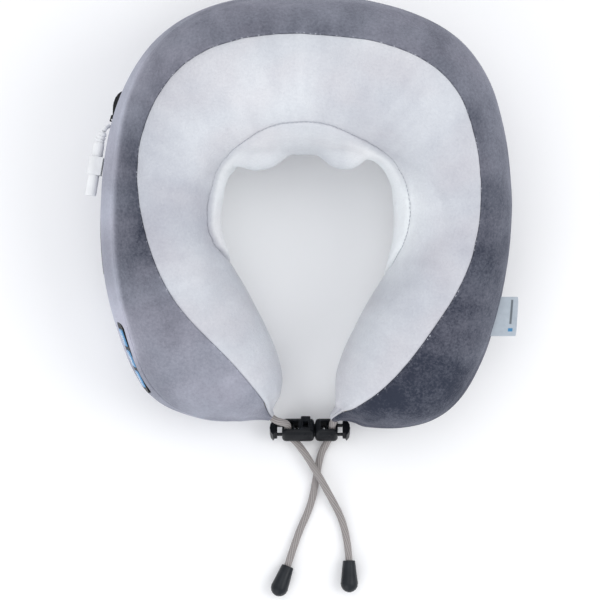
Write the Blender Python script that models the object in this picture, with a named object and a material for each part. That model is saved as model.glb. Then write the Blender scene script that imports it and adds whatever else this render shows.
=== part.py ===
"""A U-shaped shiatsu neck massager: a soft travel pillow with a kneading drive behind the neck.

Metres, +Z up. The pillow lies on its base with the arms pointing to -Y and the neck hole open along Z.
The origin is under the middle of the pillow, on the surface that it lies on.
"""

import math

import bmesh
import bpy
import numpy as np
from mathutils import Matrix, Vector

MM = 0.001
GAP = 0.3 * MM
TURN = 2 * math.pi

# ---- pillow outline, in millimetres: one (outer x, outer y, inner x, inner y) for each station,
# ---- from the left arm's tip round the back to the right arm's tip
STATIONS = [
    (-24, -144, -24, -144),
    (-50, -148.5, -14, -124),
    (-84, -143, -18.5, -99),
    (-112, -124.5, -30, -73),
    (-129, -90, -43.5, -49),
    (-139, -52, -53, -29),
    (-142.6, -10, -58.2, -8),
    (-140.4, 36, -57, 14),
    (-128.5, 82.5, -51.5, 31),
    (-100, 126, -36, 41),
    (-52, 150.5, -16, 45),
    (3.5, 155.5, 2, 45.5),
    (57, 149.5, 20, 45),
    (104, 130.5, 42, 43),
    (134, 95.5, 60.5, 35),
    (147.5, 49, 68.5, 14),
    (151.2, 0, 69.5, -6),
    (147, -45, 64.5, -34),
    (137.5, -87, 51, -62),
    (120, -126, 38, -86),
    (93, -148.5, 28, -109),
    (56, -153.5, 25.5, -130),
    (27, -145, 27, -145),
]
LAST = len(STATIONS) - 1
# Heights of one arm, tip to middle of the back; the other arm mirrors them
TOP_HEIGHTS = [26, 72, 91, 100, 107, 114, 122, 131, 140, 147, 150, 150]
WAIST_HEIGHTS = [26, 36, 44, 48, 52, 56, 60, 64, 68, 71, 73, 74]
BASE_HEIGHTS = [26, -4, -6, -6, -6, -6, -6, -6, -6, -6, -6, -6]
SECTION_POWER = 2.35
TIP_START = 0.28
# Where the pale top cloth meets the grey border: 1 is the outer edge, -1 the inner one
TOP_SEAM = [-0.3, -0.3, -0.33, -0.26, -0.08, 0.06, 0.2, 0.34, 0.38, 0.38, 0.38, 0.37,
            0.38, 0.38, 0.39, 0.39, 0.365, 0.26, 0.07, -0.07, -0.14, -0.22, -0.3]
# Where the neck collar starts, as an angle round the section, from its left end to its right one
COLLAR_SEAM = [224, 160, 144, 149, 157, 147, 135, 132, 135, 149, 159, 144, 142, 158, 224]
COLLAR_FIRST, COLLAR_LAST = 4.3, 17.7
EDGE_SEAM = 28.0
BASE_OUTER = -52.0
BASE_INNER = 232.0
SEAM_GAP = 0.45
CLOTH = 2.5 * MM
FOAM_INSET = CLOTH + 1.6 * MM

# ---- kneading drive
DRIVE_X = 1.9 * MM
ROTOR_HALF_SPACING = 28.5 * MM
ROTOR_Z = 78 * MM
GEAR_MODULE = 1.25 * MM
WHEEL_TEETH = 36
WHEEL_R = GEAR_MODULE * WHEEL_TEETH / 2
WORM_R = ROTOR_HALF_SPACING - WHEEL_R
WORM_PITCH = math.pi * GEAR_MODULE
WHEEL_Y = 82 * MM
WHEEL_WIDTH = 8 * MM
HEAD_ORBIT = 9.0 * MM
HEAD_R = 8.3 * MM
HEAD_Y = 52.8 * MM
CARRIER_Y = (56 * MM, 61 * MM)
FRONT_Y = (63 * MM, 66 * MM)
REAR_Y = (66.3 * MM, 102 * MM)
WALL = 2.2 * MM
SHAFT_R = 3.0 * MM
BUSH_R = 5.0 * MM
MOTOR_R = 14 * MM
MOTOR_Z = (20 * MM, 48 * MM)
BUMP_DEPTH = 9.8 * MM
BUMP_FLAT_R = 3 * MM
BUMP_EDGE_R = 23.5 * MM

# ---- buckle and drawcords
CORD_R = 2.7 * MM
BUCKLE_Y = -157 * MM
BUCKLE_Z = 12.4 * MM
BUCKLE_TILT = math.radians(-40)
BARREL_HALF = (7.5 * MM, 6.2 * MM)
SOCKET_X = (-13.5 * MM, 10.7 * MM)
PLUG_X = (11.1 * MM, 28.2 * MM)
LEFT_CORD_X = -9.2 * MM
RIGHT_CORD_X = 23.9 * MM
PLUNGER_GAP = 3.4 * MM

# ---- colours
PALE_CLOTH = (0.74, 0.76, 0.80, 1)
GREY_CLOTH = (0.20, 0.20, 0.25, 1)
BLACK = (0.012, 0.014, 0.018, 1)
WHITE = (0.82, 0.83, 0.84, 1)
CORD_GREY = (0.33, 0.30, 0.29, 1)
KEY_BLUE = (0.05, 0.22, 0.62, 1)
STEEL = (0.55, 0.56, 0.58, 1)
ABS_GREY = (0.30, 0.31, 0.33, 1)
GEAR_WHITE = (0.85, 0.84, 0.78, 1)
HEAD_TAN = (0.62, 0.50, 0.40, 1)
FOAM_CREAM = (0.85, 0.80, 0.62, 1)
BRONZE = (0.45, 0.28, 0.12, 1)
BOARD_GREEN = (0.03, 0.22, 0.09, 1)
CELL_BLUE = (0.08, 0.20, 0.42, 1)
WIRE_BLACK = (0.02, 0.02, 0.02, 1)


# ======================================================================== helpers
def clear_scene():
    for obj in list(bpy.data.objects):
        bpy.data.objects.remove(obj)


def material(name, colour, roughness=0.6, metallic=0.0):
    found = bpy.data.materials.get(name)
    if found:
        return found
    made = bpy.data.materials.new(name)
    made.use_nodes = True
    shader = made.node_tree.nodes["Principled BSDF"]
    shader.inputs["Base Color"].default_value = colour
    shader.inputs["Roughness"].default_value = roughness
    shader.inputs["Metallic"].default_value = metallic
    made.diffuse_color = colour
    return made


def link(name, data, look):
    obj = bpy.data.objects.new(name, data)
    bpy.context.scene.collection.objects.link(obj)
    if look is not None:
        data.materials.append(look)
    return obj


def mesh_object(name, bm, look, smooth=True):
    bmesh.ops.recalc_face_normals(bm, faces=bm.faces)
    mesh = bpy.data.meshes.new(name)
    bm.to_mesh(mesh)
    bm.free()
    if smooth:
        mesh.shade_smooth()
        mesh.set_sharp_from_angle(angle=math.radians(35))
    return link(name, mesh, look)


def helper(obj):
    """Marks a cutter or another shape that isn't part of the object."""
    obj.hide_render = True
    obj.display_type = "WIRE"
    return obj


def cut(obj, *cutters):
    for cutter in cutters:
        helper(cutter)
        boolean = obj.modifiers.new("cut_" + cutter.name, "BOOLEAN")
        boolean.operation = "DIFFERENCE"
        boolean.object = cutter
    return obj


def join(obj, *others):
    for other in others:
        helper(other)
        boolean = obj.modifiers.new("join_" + other.name, "BOOLEAN")
        boolean.operation = "UNION"
        boolean.object = other
    return obj


def bevel(obj, width, segments=2):
    modifier = obj.modifiers.new("bevel", "BEVEL")
    modifier.width = width
    modifier.segments = segments
    modifier.limit_method = "ANGLE"
    modifier.angle_limit = math.radians(40)
    return obj


def rings(bm, loops, triangles=False):
    """Faces between loops of the same length, and over the first and the last one."""
    rows = [[bm.verts.new(p) for p in loop] for loop in loops]
    count = len(rows[0])
    for a, b in zip(rows, rows[1:]):
        for i in range(count):
            j = (i + 1) % count
            if triangles:
                bm.faces.new((a[i], a[j], b[j]))
                bm.faces.new((a[i], b[j], b[i]))
            else:
                bm.faces.new((a[i], a[j], b[j], b[i]))
    bm.faces.new(rows[0][::-1])
    bm.faces.new(rows[-1])


def turned(name, profile, place, look, sides=20):
    """A solid of revolution. profile holds (radius, height) from one end to the other, and place turns its axis."""
    bm = bmesh.new()
    loops = []
    for radius, height in profile:
        angles = [TURN * i / sides for i in range(sides)]
        loops.append([place @ Vector((radius * math.cos(a), radius * math.sin(a), height)) for a in angles])
    rings(bm, loops)
    return mesh_object(name, bm, look)


def cylinder(name, radius, low, high, place, look=None, sides=20):
    return turned(name, [(radius, low), (radius, high)], place, look, sides)


def block(name, low, high, look=None, place=None):
    bm = bmesh.new()
    size = Vector(high) - Vector(low)
    middle = (Vector(high) + Vector(low)) / 2
    bmesh.ops.create_cube(bm, size=1, matrix=Matrix.Translation(middle) @ Matrix.Diagonal((*size, 1)))
    if place is not None:
        bm.transform(place)
    return mesh_object(name, bm, look)


def prism(name, outline, low, high, place, look=None):
    """A flat outline of (x, y) pushed from low to high along z, then placed."""
    bm = bmesh.new()
    rings(bm, [[place @ Vector((x, y, z)) for x, y in outline] for z in (low, high)])
    return mesh_object(name, bm, look)


def hull(name, circles, low, high, place, look=None, sides=24):
    """A prism round several circles of (x, y, radius), as a belt would run round them."""
    bm = bmesh.new()
    for x, y, radius in circles:
        for i in range(sides):
            a = TURN * i / sides
            for z in (low, high):
                bm.verts.new(place @ Vector((x + radius * math.cos(a), y + radius * math.sin(a), z)))
    made = bmesh.ops.convex_hull(bm, input=bm.verts)
    spare = {v for v in made["geom_interior"] + made["geom_unused"] if isinstance(v, bmesh.types.BMVert)}
    bmesh.ops.delete(bm, geom=list(spare), context="VERTS")
    bmesh.ops.dissolve_limit(bm, angle_limit=0.002, verts=bm.verts, edges=bm.edges)
    return mesh_object(name, bm, look)


def natural_spline(values):
    """A smooth curve through values at 0, 1, 2 ..., as a function of a station number."""
    values = np.array(values, float)
    count = len(values)
    system = np.eye(count)
    right = np.zeros_like(values)
    for i in range(1, count - 1):
        system[i, i - 1 : i + 2] = 1, 4, 1
        right[i] = 6 * (values[i - 1] - 2 * values[i] + values[i + 1])
    bend = np.linalg.solve(system, right)

    def at(s):
        i = min(max(int(s), 0), count - 2)
        f = s - i
        g = 1 - f
        return (g * values[i] + f * values[i + 1]
                + ((g**3 - g) * bend[i] + (f**3 - f) * bend[i + 1]) / 6)

    return at


def smooth_route(points, step):
    """Points about step apart on a smooth curve through a route's own points."""
    route = natural_spline(points)
    fine = np.array([route(s) for s in np.linspace(0, len(points) - 1, 40 * len(points))])
    along = np.concatenate([[0], np.cumsum(np.linalg.norm(np.diff(fine, axis=0), axis=1))])
    at = np.linspace(0, along[-1], max(4, round(along[-1] / step)))
    return np.stack([np.interp(at, along, fine[:, k]) for k in range(3)], axis=1)


def tube(name, points, radius, look, resolution=2):
    curve = bpy.data.curves.new(name, "CURVE")
    curve.dimensions = "3D"
    curve.bevel_depth = radius
    curve.bevel_resolution = resolution
    curve.use_fill_caps = True
    spline = curve.splines.new("POLY")
    spline.points.add(len(points) - 1)
    for point, place in zip(spline.points, points):
        point.co = (*place, 1)
    return link(name, curve, look)


# ======================================================================== pillow surface
OUTLINE = natural_spline([[v * MM for v in row] for row in STATIONS])
TOP = natural_spline([v * MM for v in TOP_HEIGHTS + TOP_HEIGHTS[-2::-1]])
WAIST = natural_spline([v * MM for v in WAIST_HEIGHTS + WAIST_HEIGHTS[-2::-1]])
BASE = natural_spline([v * MM for v in BASE_HEIGHTS + BASE_HEIGHTS[-2::-1]])
TOP_SEAM_AT = natural_spline(TOP_SEAM)


def top_seam(s):
    """The angle round the section of the seam between the pale top and the grey border."""
    across = float(TOP_SEAM_AT(s))
    return math.degrees(math.acos(math.copysign(abs(across) ** (SECTION_POWER / 2), across)))


def collar_seam(s):
    """The angle round the section of the collar's seam: its points joined up, with the corners rounded off."""
    reach = max(0.0, min(0.7, s - COLLAR_FIRST, COLLAR_LAST - s))
    around = [s + reach * k for k in (-1, -0.5, 0, 0.5, 1)]
    near = np.interp(around, [COLLAR_FIRST, *range(5, 18), COLLAR_LAST], COLLAR_SEAM)
    return float(np.dot(near, [0.1, 0.24, 0.32, 0.24, 0.1]))


def smoothstep(low, high, value):
    x = min(max((value - low) / (high - low), 0.0), 1.0)
    return x * x * (3 - 2 * x)


def bump(x, z):
    """How far the collar bulges towards the neck over the two kneading rotors."""
    depth = 0.0
    for side in (-1, 1):
        away = math.hypot(x - DRIVE_X - side * ROTOR_HALF_SPACING, z - ROTOR_Z)
        depth = max(depth, 1 - smoothstep(BUMP_FLAT_R, BUMP_EDGE_R, away))
    return BUMP_DEPTH * depth


def skin(s, angle, inset=0.0):
    """A point of the pillow at station s. angle runs round the section in degrees, from the outer side
    at 0 over the top at 90 and the neck side at 180 to the base at 270. inset is the depth under the skin."""
    ox, oy, ix, iy = OUTLINE(s)
    outer, inner = Vector((ox, oy)), Vector((ix, iy))
    half = (outer - inner).length / 2
    across = (outer - inner).normalized()
    middle = (outer + inner) / 2
    c, z = math.cos(math.radians(angle)), math.sin(math.radians(angle))
    u = math.copysign(abs(c) ** (2 / SECTION_POWER), c) * (half - inset)
    w = math.copysign(abs(z) ** (2 / SECTION_POWER), z)
    waist = float(WAIST(s))
    reach = float(TOP(s)) - inset - waist if w > 0 else waist - float(BASE(s)) - inset
    height = max(waist + reach * w, inset)
    flat = middle + across * u
    neck = smoothstep(0.0, 0.6, -c) * smoothstep(-0.98, -0.75, z) * smoothstep(6.0, 7.5, min(s, LAST - s))
    return Vector((flat.x, flat.y - bump(flat.x, height) * neck, height))


ARM_STEPS = [TIP_START, 0.5, 0.8, 1.2, 1.7, 2.35, 3.0, 3.65]
# Close together over the two bulges of the kneading heads
COLLAR_STEPS = [COLLAR_FIRST, 5.0, 5.7, 6.4, 7.1, 7.7, 8.2, 8.55, 8.9, 9.2, 9.5, 9.8, 10.0, 10.2, 10.45, 10.75, 11.1,
                11.45, 11.75, 12.05, 12.3, 12.55, 12.8, 13.05, 13.3, 13.6, 14.0, 14.6, 15.2, 15.9, 16.6, 17.2,
                COLLAR_LAST]
WHOLE_STEPS = ARM_STEPS + COLLAR_STEPS + [LAST - s for s in ARM_STEPS[::-1]]
SIDE_ROWS, BORDER_ROWS, TOP_ROWS, COLLAR_ROWS, BASE_ROWS = 5, 4, 6, 11, 4


def panel(name, stations, low_angle, high_angle, rows, look):
    """One cloth panel of the cover, between two seams given as angles at each station."""
    bm = bmesh.new()
    loops = []
    for s in stations:
        angles = np.linspace(low_angle(s) + SEAM_GAP, high_angle(s) - SEAM_GAP, rows)
        loops.append([skin(s, a) for a in angles] + [skin(s, a, CLOTH) for a in angles[::-1]])
    rings(bm, loops, triangles=True)
    return mesh_object(name, bm, look)


# ======================================================================== cover and foam
def inner_edge(s):
    """Where the pale top panel ends on the neck side: at the collar's seam, or else at the base's."""
    return collar_seam(s) if COLLAR_FIRST <= s <= COLLAR_LAST else BASE_INNER


def make_cover():
    pale = material("pale_velour", PALE_CLOTH, 0.95)
    grey = material("grey_velour", GREY_CLOTH, 0.95)
    top = panel("top_panel", WHOLE_STEPS, top_seam, inner_edge, TOP_ROWS, pale)
    border = panel("border_panel", WHOLE_STEPS, lambda s: EDGE_SEAM, top_seam, BORDER_ROWS, grey)
    side = panel("side_panel", WHOLE_STEPS, lambda s: BASE_OUTER, lambda s: EDGE_SEAM, SIDE_ROWS, grey)
    base = panel("base_panel", WHOLE_STEPS, lambda s: BASE_INNER, lambda s: 360 + BASE_OUTER, BASE_ROWS, grey)
    # The collar's seam climbs steeply at its ends, so it needs more room round the section there
    collar = panel("collar_panel", COLLAR_STEPS,
                   lambda s: collar_seam(s) + 2.2 * (1 - smoothstep(5.0, 6.5, min(s, LAST - s))),
                   lambda s: BASE_INNER, COLLAR_ROWS, pale)
    return top, border, side, base, collar


def make_foam():
    bm = bmesh.new()
    loops = []
    for s in WHOLE_STEPS[1:-1]:
        seams = [(BASE_OUTER, EDGE_SEAM, SIDE_ROWS), (EDGE_SEAM, top_seam(s), BORDER_ROWS),
                 (top_seam(s), inner_edge(s), TOP_ROWS), (inner_edge(s), BASE_INNER, COLLAR_ROWS),
                 (BASE_INNER, 360 + BASE_OUTER, BASE_ROWS)]
        angles = [a for low, high, rows in seams for a in np.linspace(low, high, rows)[:-1]]
        # The cover is slack where an arm narrows to its tip
        slack = 0.6 * MM * (1 - smoothstep(0.3, 2.0, min(s, LAST - s)))
        loops.append([skin(s, a, FOAM_INSET + slack) for a in angles[::-1]])
    rings(bm, loops, triangles=True)
    bmesh.ops.remove_doubles(bm, verts=bm.verts, dist=0.01 * MM)
    bmesh.ops.dissolve_degenerate(bm, edges=bm.edges, dist=0.01 * MM)
    return mesh_object("foam_core", bm, material("cream_foam", FOAM_CREAM, 0.95))


# ======================================================================== kneading drive
WORM_PLACE = Matrix.Translation((DRIVE_X, WHEEL_Y, 0))


def along_y(x, z):
    """Turns a solid's own +Z into the row's +Y and puts its axis at this x and z."""
    return Matrix.Translation((x, 0, z)) @ Matrix.Rotation(math.radians(-90), 4, "X")


DRIVE = along_y(DRIVE_X, 0)


def rotor_x(side):
    return DRIVE_X + side * ROTOR_HALF_SPACING


def housing_circles(grow):
    return [(-ROTOR_HALF_SPACING, -ROTOR_Z, 28 * MM + grow), (ROTOR_HALF_SPACING, -ROTOR_Z, 28 * MM + grow),
            (-17 * MM, -22 * MM, 5 * MM + grow), (17 * MM, -22 * MM, 5 * MM + grow)]


SCREWS = {"top": (0, 101 * MM), "left": (-18.6 * MM, 25.5 * MM), "right": (18.6 * MM, 25.5 * MM)}


def make_housing():
    look = material("drive_housing_abs", ABS_GREY, 0.5)
    front = hull("front_housing", housing_circles(0), *FRONT_Y, DRIVE, look)
    rear = hull("rear_housing", housing_circles(0), *REAR_Y, DRIVE, look)
    room = hull("housing_room", housing_circles(-WALL), REAR_Y[0] - MM, REAR_Y[1] - WALL, DRIVE)
    cut(rear, room)
    for side, word in ((-1, "left"), (1, "right")):
        axle = along_y(rotor_x(side), ROTOR_Z)
        join(rear, cylinder(word + "_boss", BUSH_R + 2 * MM, 92 * MM, REAR_Y[1] - MM, axle))
        cut(rear, cylinder(word + "_boss_bore", BUSH_R + 0.2 * MM, 90 * MM, 98.5 * MM, axle))
        cut(front, cylinder(word + "_front_bore", BUSH_R + 0.2 * MM, 60 * MM, 69 * MM, axle))
    shelf = block("motor_shelf", (DRIVE_X - 18 * MM, 68 * MM, 48.3 * MM), (DRIVE_X + 18 * MM, 100.5 * MM, 50.7 * MM))
    rib = block("worm_rib", (DRIVE_X - 6.5 * MM, 76.5 * MM, 93.1 * MM), (DRIVE_X + 6.5 * MM, 100.5 * MM, 98.6 * MM))
    join(rear, shelf, rib)
    cut(rear, cylinder("motor_nose_seat", 5.3 * MM, 47 * MM, 52 * MM, WORM_PLACE, sides=20),
        cylinder("worm_bush_seat", 4.2 * MM, 92 * MM, 97.5 * MM, WORM_PLACE, sides=16))
    for word, (x, z) in SCREWS.items():
        axis = along_y(DRIVE_X + x, z)
        join(rear, cylinder(word + "_post", 3.2 * MM, REAR_Y[0], REAR_Y[1] - MM, axis, sides=16))
        cut(rear, cylinder(word + "_post_bore", 1.5 * MM, REAR_Y[0] - MM, 84 * MM, axis, sides=12))
        cut(front, cylinder(word + "_screw_bore", 1.8 * MM, 60 * MM, 69 * MM, axis, sides=12))
        turned(word + "_case_screw",
               [(3 * MM, 60.9 * MM), (3 * MM, 62.7 * MM), (1.3 * MM, 62.75 * MM), (1.3 * MM, 80 * MM)],
               axis, material("screw_steel", STEEL, 0.35, 1.0), 12)
    return front, rear


def make_bushes():
    look = material("sintered_bronze", BRONZE, 0.45, 1.0)
    for side, word in ((-1, "left"), (1, "right")):
        axle = along_y(rotor_x(side), ROTOR_Z)
        for place, low, high in (("front", 63.2 * MM, 69 * MM), ("rear", 92.3 * MM, 98.2 * MM)):
            bush = cylinder(f"{word}_{place}_bush", BUSH_R, low, high, axle, look)
            cut(bush, cylinder(f"{word}_{place}_bush_bore", SHAFT_R + 0.08 * MM, low - MM, high + MM, axle))
    top = cylinder("worm_top_bush", 4 * MM, 93 * MM, 97.2 * MM, WORM_PLACE, look, 16)
    cut(top, cylinder("worm_top_bore", 1.68 * MM, 92 * MM, 100 * MM, WORM_PLACE, sides=16))


def make_motor():
    place = WORM_PLACE
    low, high = MOTOR_Z
    can = turned("motor_can",
                 [(MOTOR_R - MM, low + 4 * MM), (MOTOR_R, low + 5 * MM), (MOTOR_R, high - 1.5 * MM),
                  (MOTOR_R - 1.5 * MM, high), (5 * MM, high), (5 * MM, high + 2.5 * MM)],
                 place, material("motor_steel", STEEL, 0.35, 1.0), 20)
    cut(can, cylinder("motor_nose_bore", 1.9 * MM, high - 6 * MM, high + 4 * MM, place, sides=16))
    turned("motor_end_cap",
           [(5 * MM, low), (5.5 * MM, low + 1.5 * MM), (MOTOR_R - 1.5 * MM, low + 1.5 * MM),
            (MOTOR_R - MM, low + 4 * MM - GAP)],
           place, material("black_nylon", BLACK, 0.5), 20)


def worm_thread():
    """The worm's thread: a trapezoid carried up a right-handed helix, deep enough to join its core."""
    steps_a_turn = 12
    turns = 5
    half_thickness = 0.775 * MM
    slope = math.tan(math.radians(20))
    profile = []
    for height, sign in ((-2.2 * MM, -1), (GEAR_MODULE, -1), (GEAR_MODULE, 1), (-2.2 * MM, 1)):
        profile.append((WORM_R + height, sign * (half_thickness - height * slope)))
    bm = bmesh.new()
    loops = []
    for i in range(-steps_a_turn * turns // 2, steps_a_turn * turns // 2 + 1):
        a = TURN * i / steps_a_turn
        rise = ROTOR_Z + WORM_PITCH * i / steps_a_turn
        loops.append([Vector((DRIVE_X + r * math.cos(a), WHEEL_Y + r * math.sin(a), rise + z)) for r, z in profile])
    rings(bm, loops)
    return mesh_object("worm_thread", bm, None)


def make_worm():
    place = WORM_PLACE
    root = WORM_R - 1.25 * GEAR_MODULE
    shaft = turned("worm_shaft",
                   [(1.6 * MM, 43 * MM), (1.6 * MM, 62 * MM), (root, 62.5 * MM), (root, 91.5 * MM),
                    (1.6 * MM, 92 * MM), (1.6 * MM, 97 * MM)],
                   place, material("worm_steel", STEEL, 0.3, 1.0), 14)
    return join(shaft, worm_thread())


def wheel_outline(phase):
    """A worm wheel's teeth as straight-sided trapezoids, with one tooth centred on phase."""
    half_pitch = math.pi / WHEEL_TEETH
    half_tooth = 0.875 * MM / WHEEL_R
    slope = math.tan(math.radians(20))
    points = []
    for tooth in range(WHEEL_TEETH):
        centre = phase + 2 * half_pitch * tooth
        for height, sign in ((-1.25, -1), (1.0, -1), (1.0, 1), (-1.25, 1)):
            radius = WHEEL_R + height * GEAR_MODULE
            half = half_tooth - height * GEAR_MODULE * slope / WHEEL_R
            angle = centre + sign * half
            points.append((radius * math.cos(angle), radius * math.sin(angle)))
    return points


def make_rotor(side, word):
    x = rotor_x(side)
    axle = along_y(x, ROTOR_Z)
    nylon = material("gear_nylon", GEAR_WHITE, 0.55)
    # The worm is at +x of the left wheel and meets a tooth there, and at -x of the right one, in a gap
    phase = 0.0 if side < 0 else math.pi + math.pi / WHEEL_TEETH
    lead = WORM_PITCH / (TURN * WORM_R)
    bm = bmesh.new()
    loops = []
    for y in (-WHEEL_WIDTH / 2, WHEEL_WIDTH / 2):
        turn = y * lead / WHEEL_R
        loops.append([axle @ Vector((px, py, WHEEL_Y + y)) for px, py in wheel_outline(phase + turn)])
    rings(bm, loops)
    wheel = mesh_object(word + "_worm_wheel", bm, nylon)
    cut(wheel, cylinder(word + "_wheel_bore", SHAFT_R + 0.2 * MM, 70 * MM, 92 * MM, axle))
    turned(word + "_rotor_shaft",
           [(SHAFT_R, 56.1 * MM), (SHAFT_R, 70 * MM), (SHAFT_R, 97.5 * MM)],
           axle, material("shaft_steel", STEEL, 0.3, 1.0))
    carrier = hull(word + "_head_carrier",
                   [(0, HEAD_ORBIT, 9 * MM), (0, -HEAD_ORBIT, 9 * MM)], *CARRIER_Y, axle,
                   material("carrier_nylon", ABS_GREY, 0.5), 18)
    cut(carrier, cylinder(word + "_carrier_bore", SHAFT_R + 0.2 * MM, 50 * MM, 66 * MM, axle))
    for up, name in ((1, "upper"), (-1, "lower")):
        make_head(f"{word}_{name}_head", x, ROTOR_Z + up * HEAD_ORBIT)


def make_head(name, x, z):
    """A kneading head: a ball on a short foot that stands on its carrier."""
    profile = []
    for i in range(6):
        a = math.radians(12 + 93 * i / 5)
        profile.append((HEAD_R * math.sin(a), HEAD_Y - HEAD_R * math.cos(a)))
    profile += [(5.7 * MM, 55.3 * MM), (5.5 * MM, CARRIER_Y[0] - GAP)]
    turned(name, profile, along_y(x, z), material("head_rubber", HEAD_TAN, 0.55), 16)


def recess_cutters():
    heads = hull("head_recess",
                 [(-ROTOR_HALF_SPACING, -ROTOR_Z, 26.5 * MM), (ROTOR_HALF_SPACING, -ROTOR_Z, 26.5 * MM)],
                 15 * MM, 60 * MM, DRIVE)
    drive = hull("drive_recess", housing_circles(2 * MM), 54 * MM, 105 * MM, DRIVE)
    return heads, drive


# ======================================================================== control panel
PANEL_STATION, PANEL_ANGLE = 3.62, 23.5
PANEL_SUNK = 2.2 * MM
PANEL_LEAN = math.radians(6)
PANEL_LENGTH = 56 * MM
PANEL_WIDTH = 13 * MM
PANEL_BEND_R = 300 * MM
KEY_LENGTH = 13 * MM
KEY_WIDTH = 8.4 * MM
KEY_PITCH = 16.5 * MM
KEY_TRAVEL = 0.6 * MM


def panel_place():
    """The control panel's frame: +X along the arm to its tip, +Y up the side wall, +Z out of it."""
    point = skin(PANEL_STATION, PANEL_ANGLE)
    along = (skin(PANEL_STATION - 0.5, PANEL_ANGLE - 5) - skin(PANEL_STATION + 0.5, PANEL_ANGLE + 3)).normalized()
    up = (skin(PANEL_STATION, PANEL_ANGLE + 6) - skin(PANEL_STATION, PANEL_ANGLE - 6)).normalized()
    out = along.cross(up).normalized()
    up = out.cross(along)
    turn = Matrix((along, up, out)).transposed().to_4x4()
    return Matrix.Translation(point - PANEL_SUNK * out) @ turn @ Matrix.Rotation(PANEL_LEAN, 4, "X")


def bent(place, x, y, z):
    """A point of the panel after it is bent round the arm: x runs along the bend."""
    angle = x / PANEL_BEND_R
    radius = PANEL_BEND_R + z
    return place @ Vector((radius * math.sin(angle), y, radius * math.cos(angle) - PANEL_BEND_R))


def bent_bar(name, place, half_length, half_width, low, high, look=None, steps=8):
    """A bar with rounded ends that follows the panel's bend."""
    bm = bmesh.new()
    loops = []
    corner = min(half_width * 0.95, 4 * MM)
    stops = list(np.linspace(-half_length + corner, half_length - corner, steps))
    ends = [half_length - corner + corner * math.sin(math.radians(a)) for a in (30, 60, 90)]
    xs = [-x for x in ends[::-1]] + stops + ends
    for x in xs:
        over = max(0.0, abs(x) - (half_length - corner))
        width = half_width - corner + math.sqrt(max(corner**2 - over**2, (0.12 * corner) ** 2))
        loops.append([bent(place, x, y, z) for y, z in
                      ((-width, low), (width, low), (width, high), (-width, high))])
    rings(bm, loops)
    return mesh_object(name, bm, look)


def make_controls():
    place = panel_place()
    half_length, half_width = PANEL_LENGTH / 2, PANEL_WIDTH / 2
    bezel = bent_bar("control_bezel", place, half_length, half_width, -3 * MM, 1.7 * MM,
                     material("gloss_black", BLACK, 0.15))
    blue = material("key_blue", KEY_BLUE, 0.2)
    for i, word in enumerate(("power", "direction", "speed")):
        x = (i - 1) * KEY_PITCH
        angle = x / PANEL_BEND_R
        spot = place @ Matrix.Translation((PANEL_BEND_R * math.sin(angle), 0,
                                           PANEL_BEND_R * (math.cos(angle) - 1)))
        spot = spot @ Matrix.Rotation(angle, 4, "Y")
        size = (KEY_LENGTH / 2, KEY_WIDTH / 2)
        hole = block(word + "_key_hole", (-size[0] - GAP, -size[1] - GAP, -5 * MM),
                     (size[0] + GAP, size[1] + GAP, 5 * MM), place=spot)
        cut(bezel, hole)
        key = block(word + "_key", (-size[0], -size[1], -1.6 * MM), (size[0], size[1], 2.5 * MM), blue, spot)
        bevel(key, 0.7 * MM, 1)
    case = bent_bar("control_case", place, half_length - 2 * MM, half_width - 0.6 * MM, -15 * MM, -3.3 * MM,
                    material("drive_housing_abs", ABS_GREY, 0.5))
    cut(case, bent_bar("control_case_room", place, half_length - 4 * MM, half_width - 2.0 * MM,
                       -13 * MM, -2 * MM))
    bent_bar("control_board", place, half_length - 5 * MM, half_width - 2.4 * MM, -6.2 * MM, -4.6 * MM,
             material("board_green", BOARD_GREEN, 0.4))
    return bent_bar("control_recess", place, half_length + GAP * 2, half_width + GAP * 2, -16 * MM, 12 * MM)


# ======================================================================== battery and leads
BATTERY_PLACE = (Matrix.Translation((94 * MM, -76 * MM, 0)) @ Matrix.Rotation(math.radians(64), 4, "Z"))
CELL_R = 9.1 * MM
CELL_LENGTH = 65 * MM


def make_battery():
    half = (37 * MM, 20.5 * MM)
    tray = block("battery_tray", (-half[0], -half[1], 9 * MM), (half[0], half[1], 23 * MM),
                 material("drive_housing_abs", ABS_GREY, 0.5), BATTERY_PLACE)
    cut(tray, block("battery_tray_room", (-half[0] + 1.8 * MM, -half[1] + 1.8 * MM, 10.8 * MM),
                    (half[0] - 1.8 * MM, half[1] - 1.8 * MM, 35 * MM), place=BATTERY_PLACE))
    for i, y in enumerate((-9.3 * MM, 9.3 * MM)):
        lie = BATTERY_PLACE @ Matrix.Translation((0, y, 20.2 * MM)) @ Matrix.Rotation(math.radians(90), 4, "Y")
        turned(f"battery_cell_{i + 1}",
               [(CELL_R - 0.6 * MM, -CELL_LENGTH / 2), (CELL_R, -CELL_LENGTH / 2 + 0.6 * MM),
                (CELL_R, CELL_LENGTH / 2 - 0.6 * MM), (CELL_R - 0.6 * MM, CELL_LENGTH / 2),
                (3 * MM, CELL_LENGTH / 2 + 0.1 * MM), (3 * MM, CELL_LENGTH / 2 + MM)],
               lie, material("cell_sleeve", CELL_BLUE, 0.4), 20)
    block("charge_board", (-26 * MM, -8 * MM, 29.7 * MM), (26 * MM, 8 * MM, 31.2 * MM),
          material("board_green", BOARD_GREEN, 0.4), BATTERY_PLACE)
    return block("battery_recess", (-38 * MM, -21.5 * MM, -5 * MM), (38 * MM, 21.5 * MM, 34 * MM),
                 place=BATTERY_PLACE)


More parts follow.
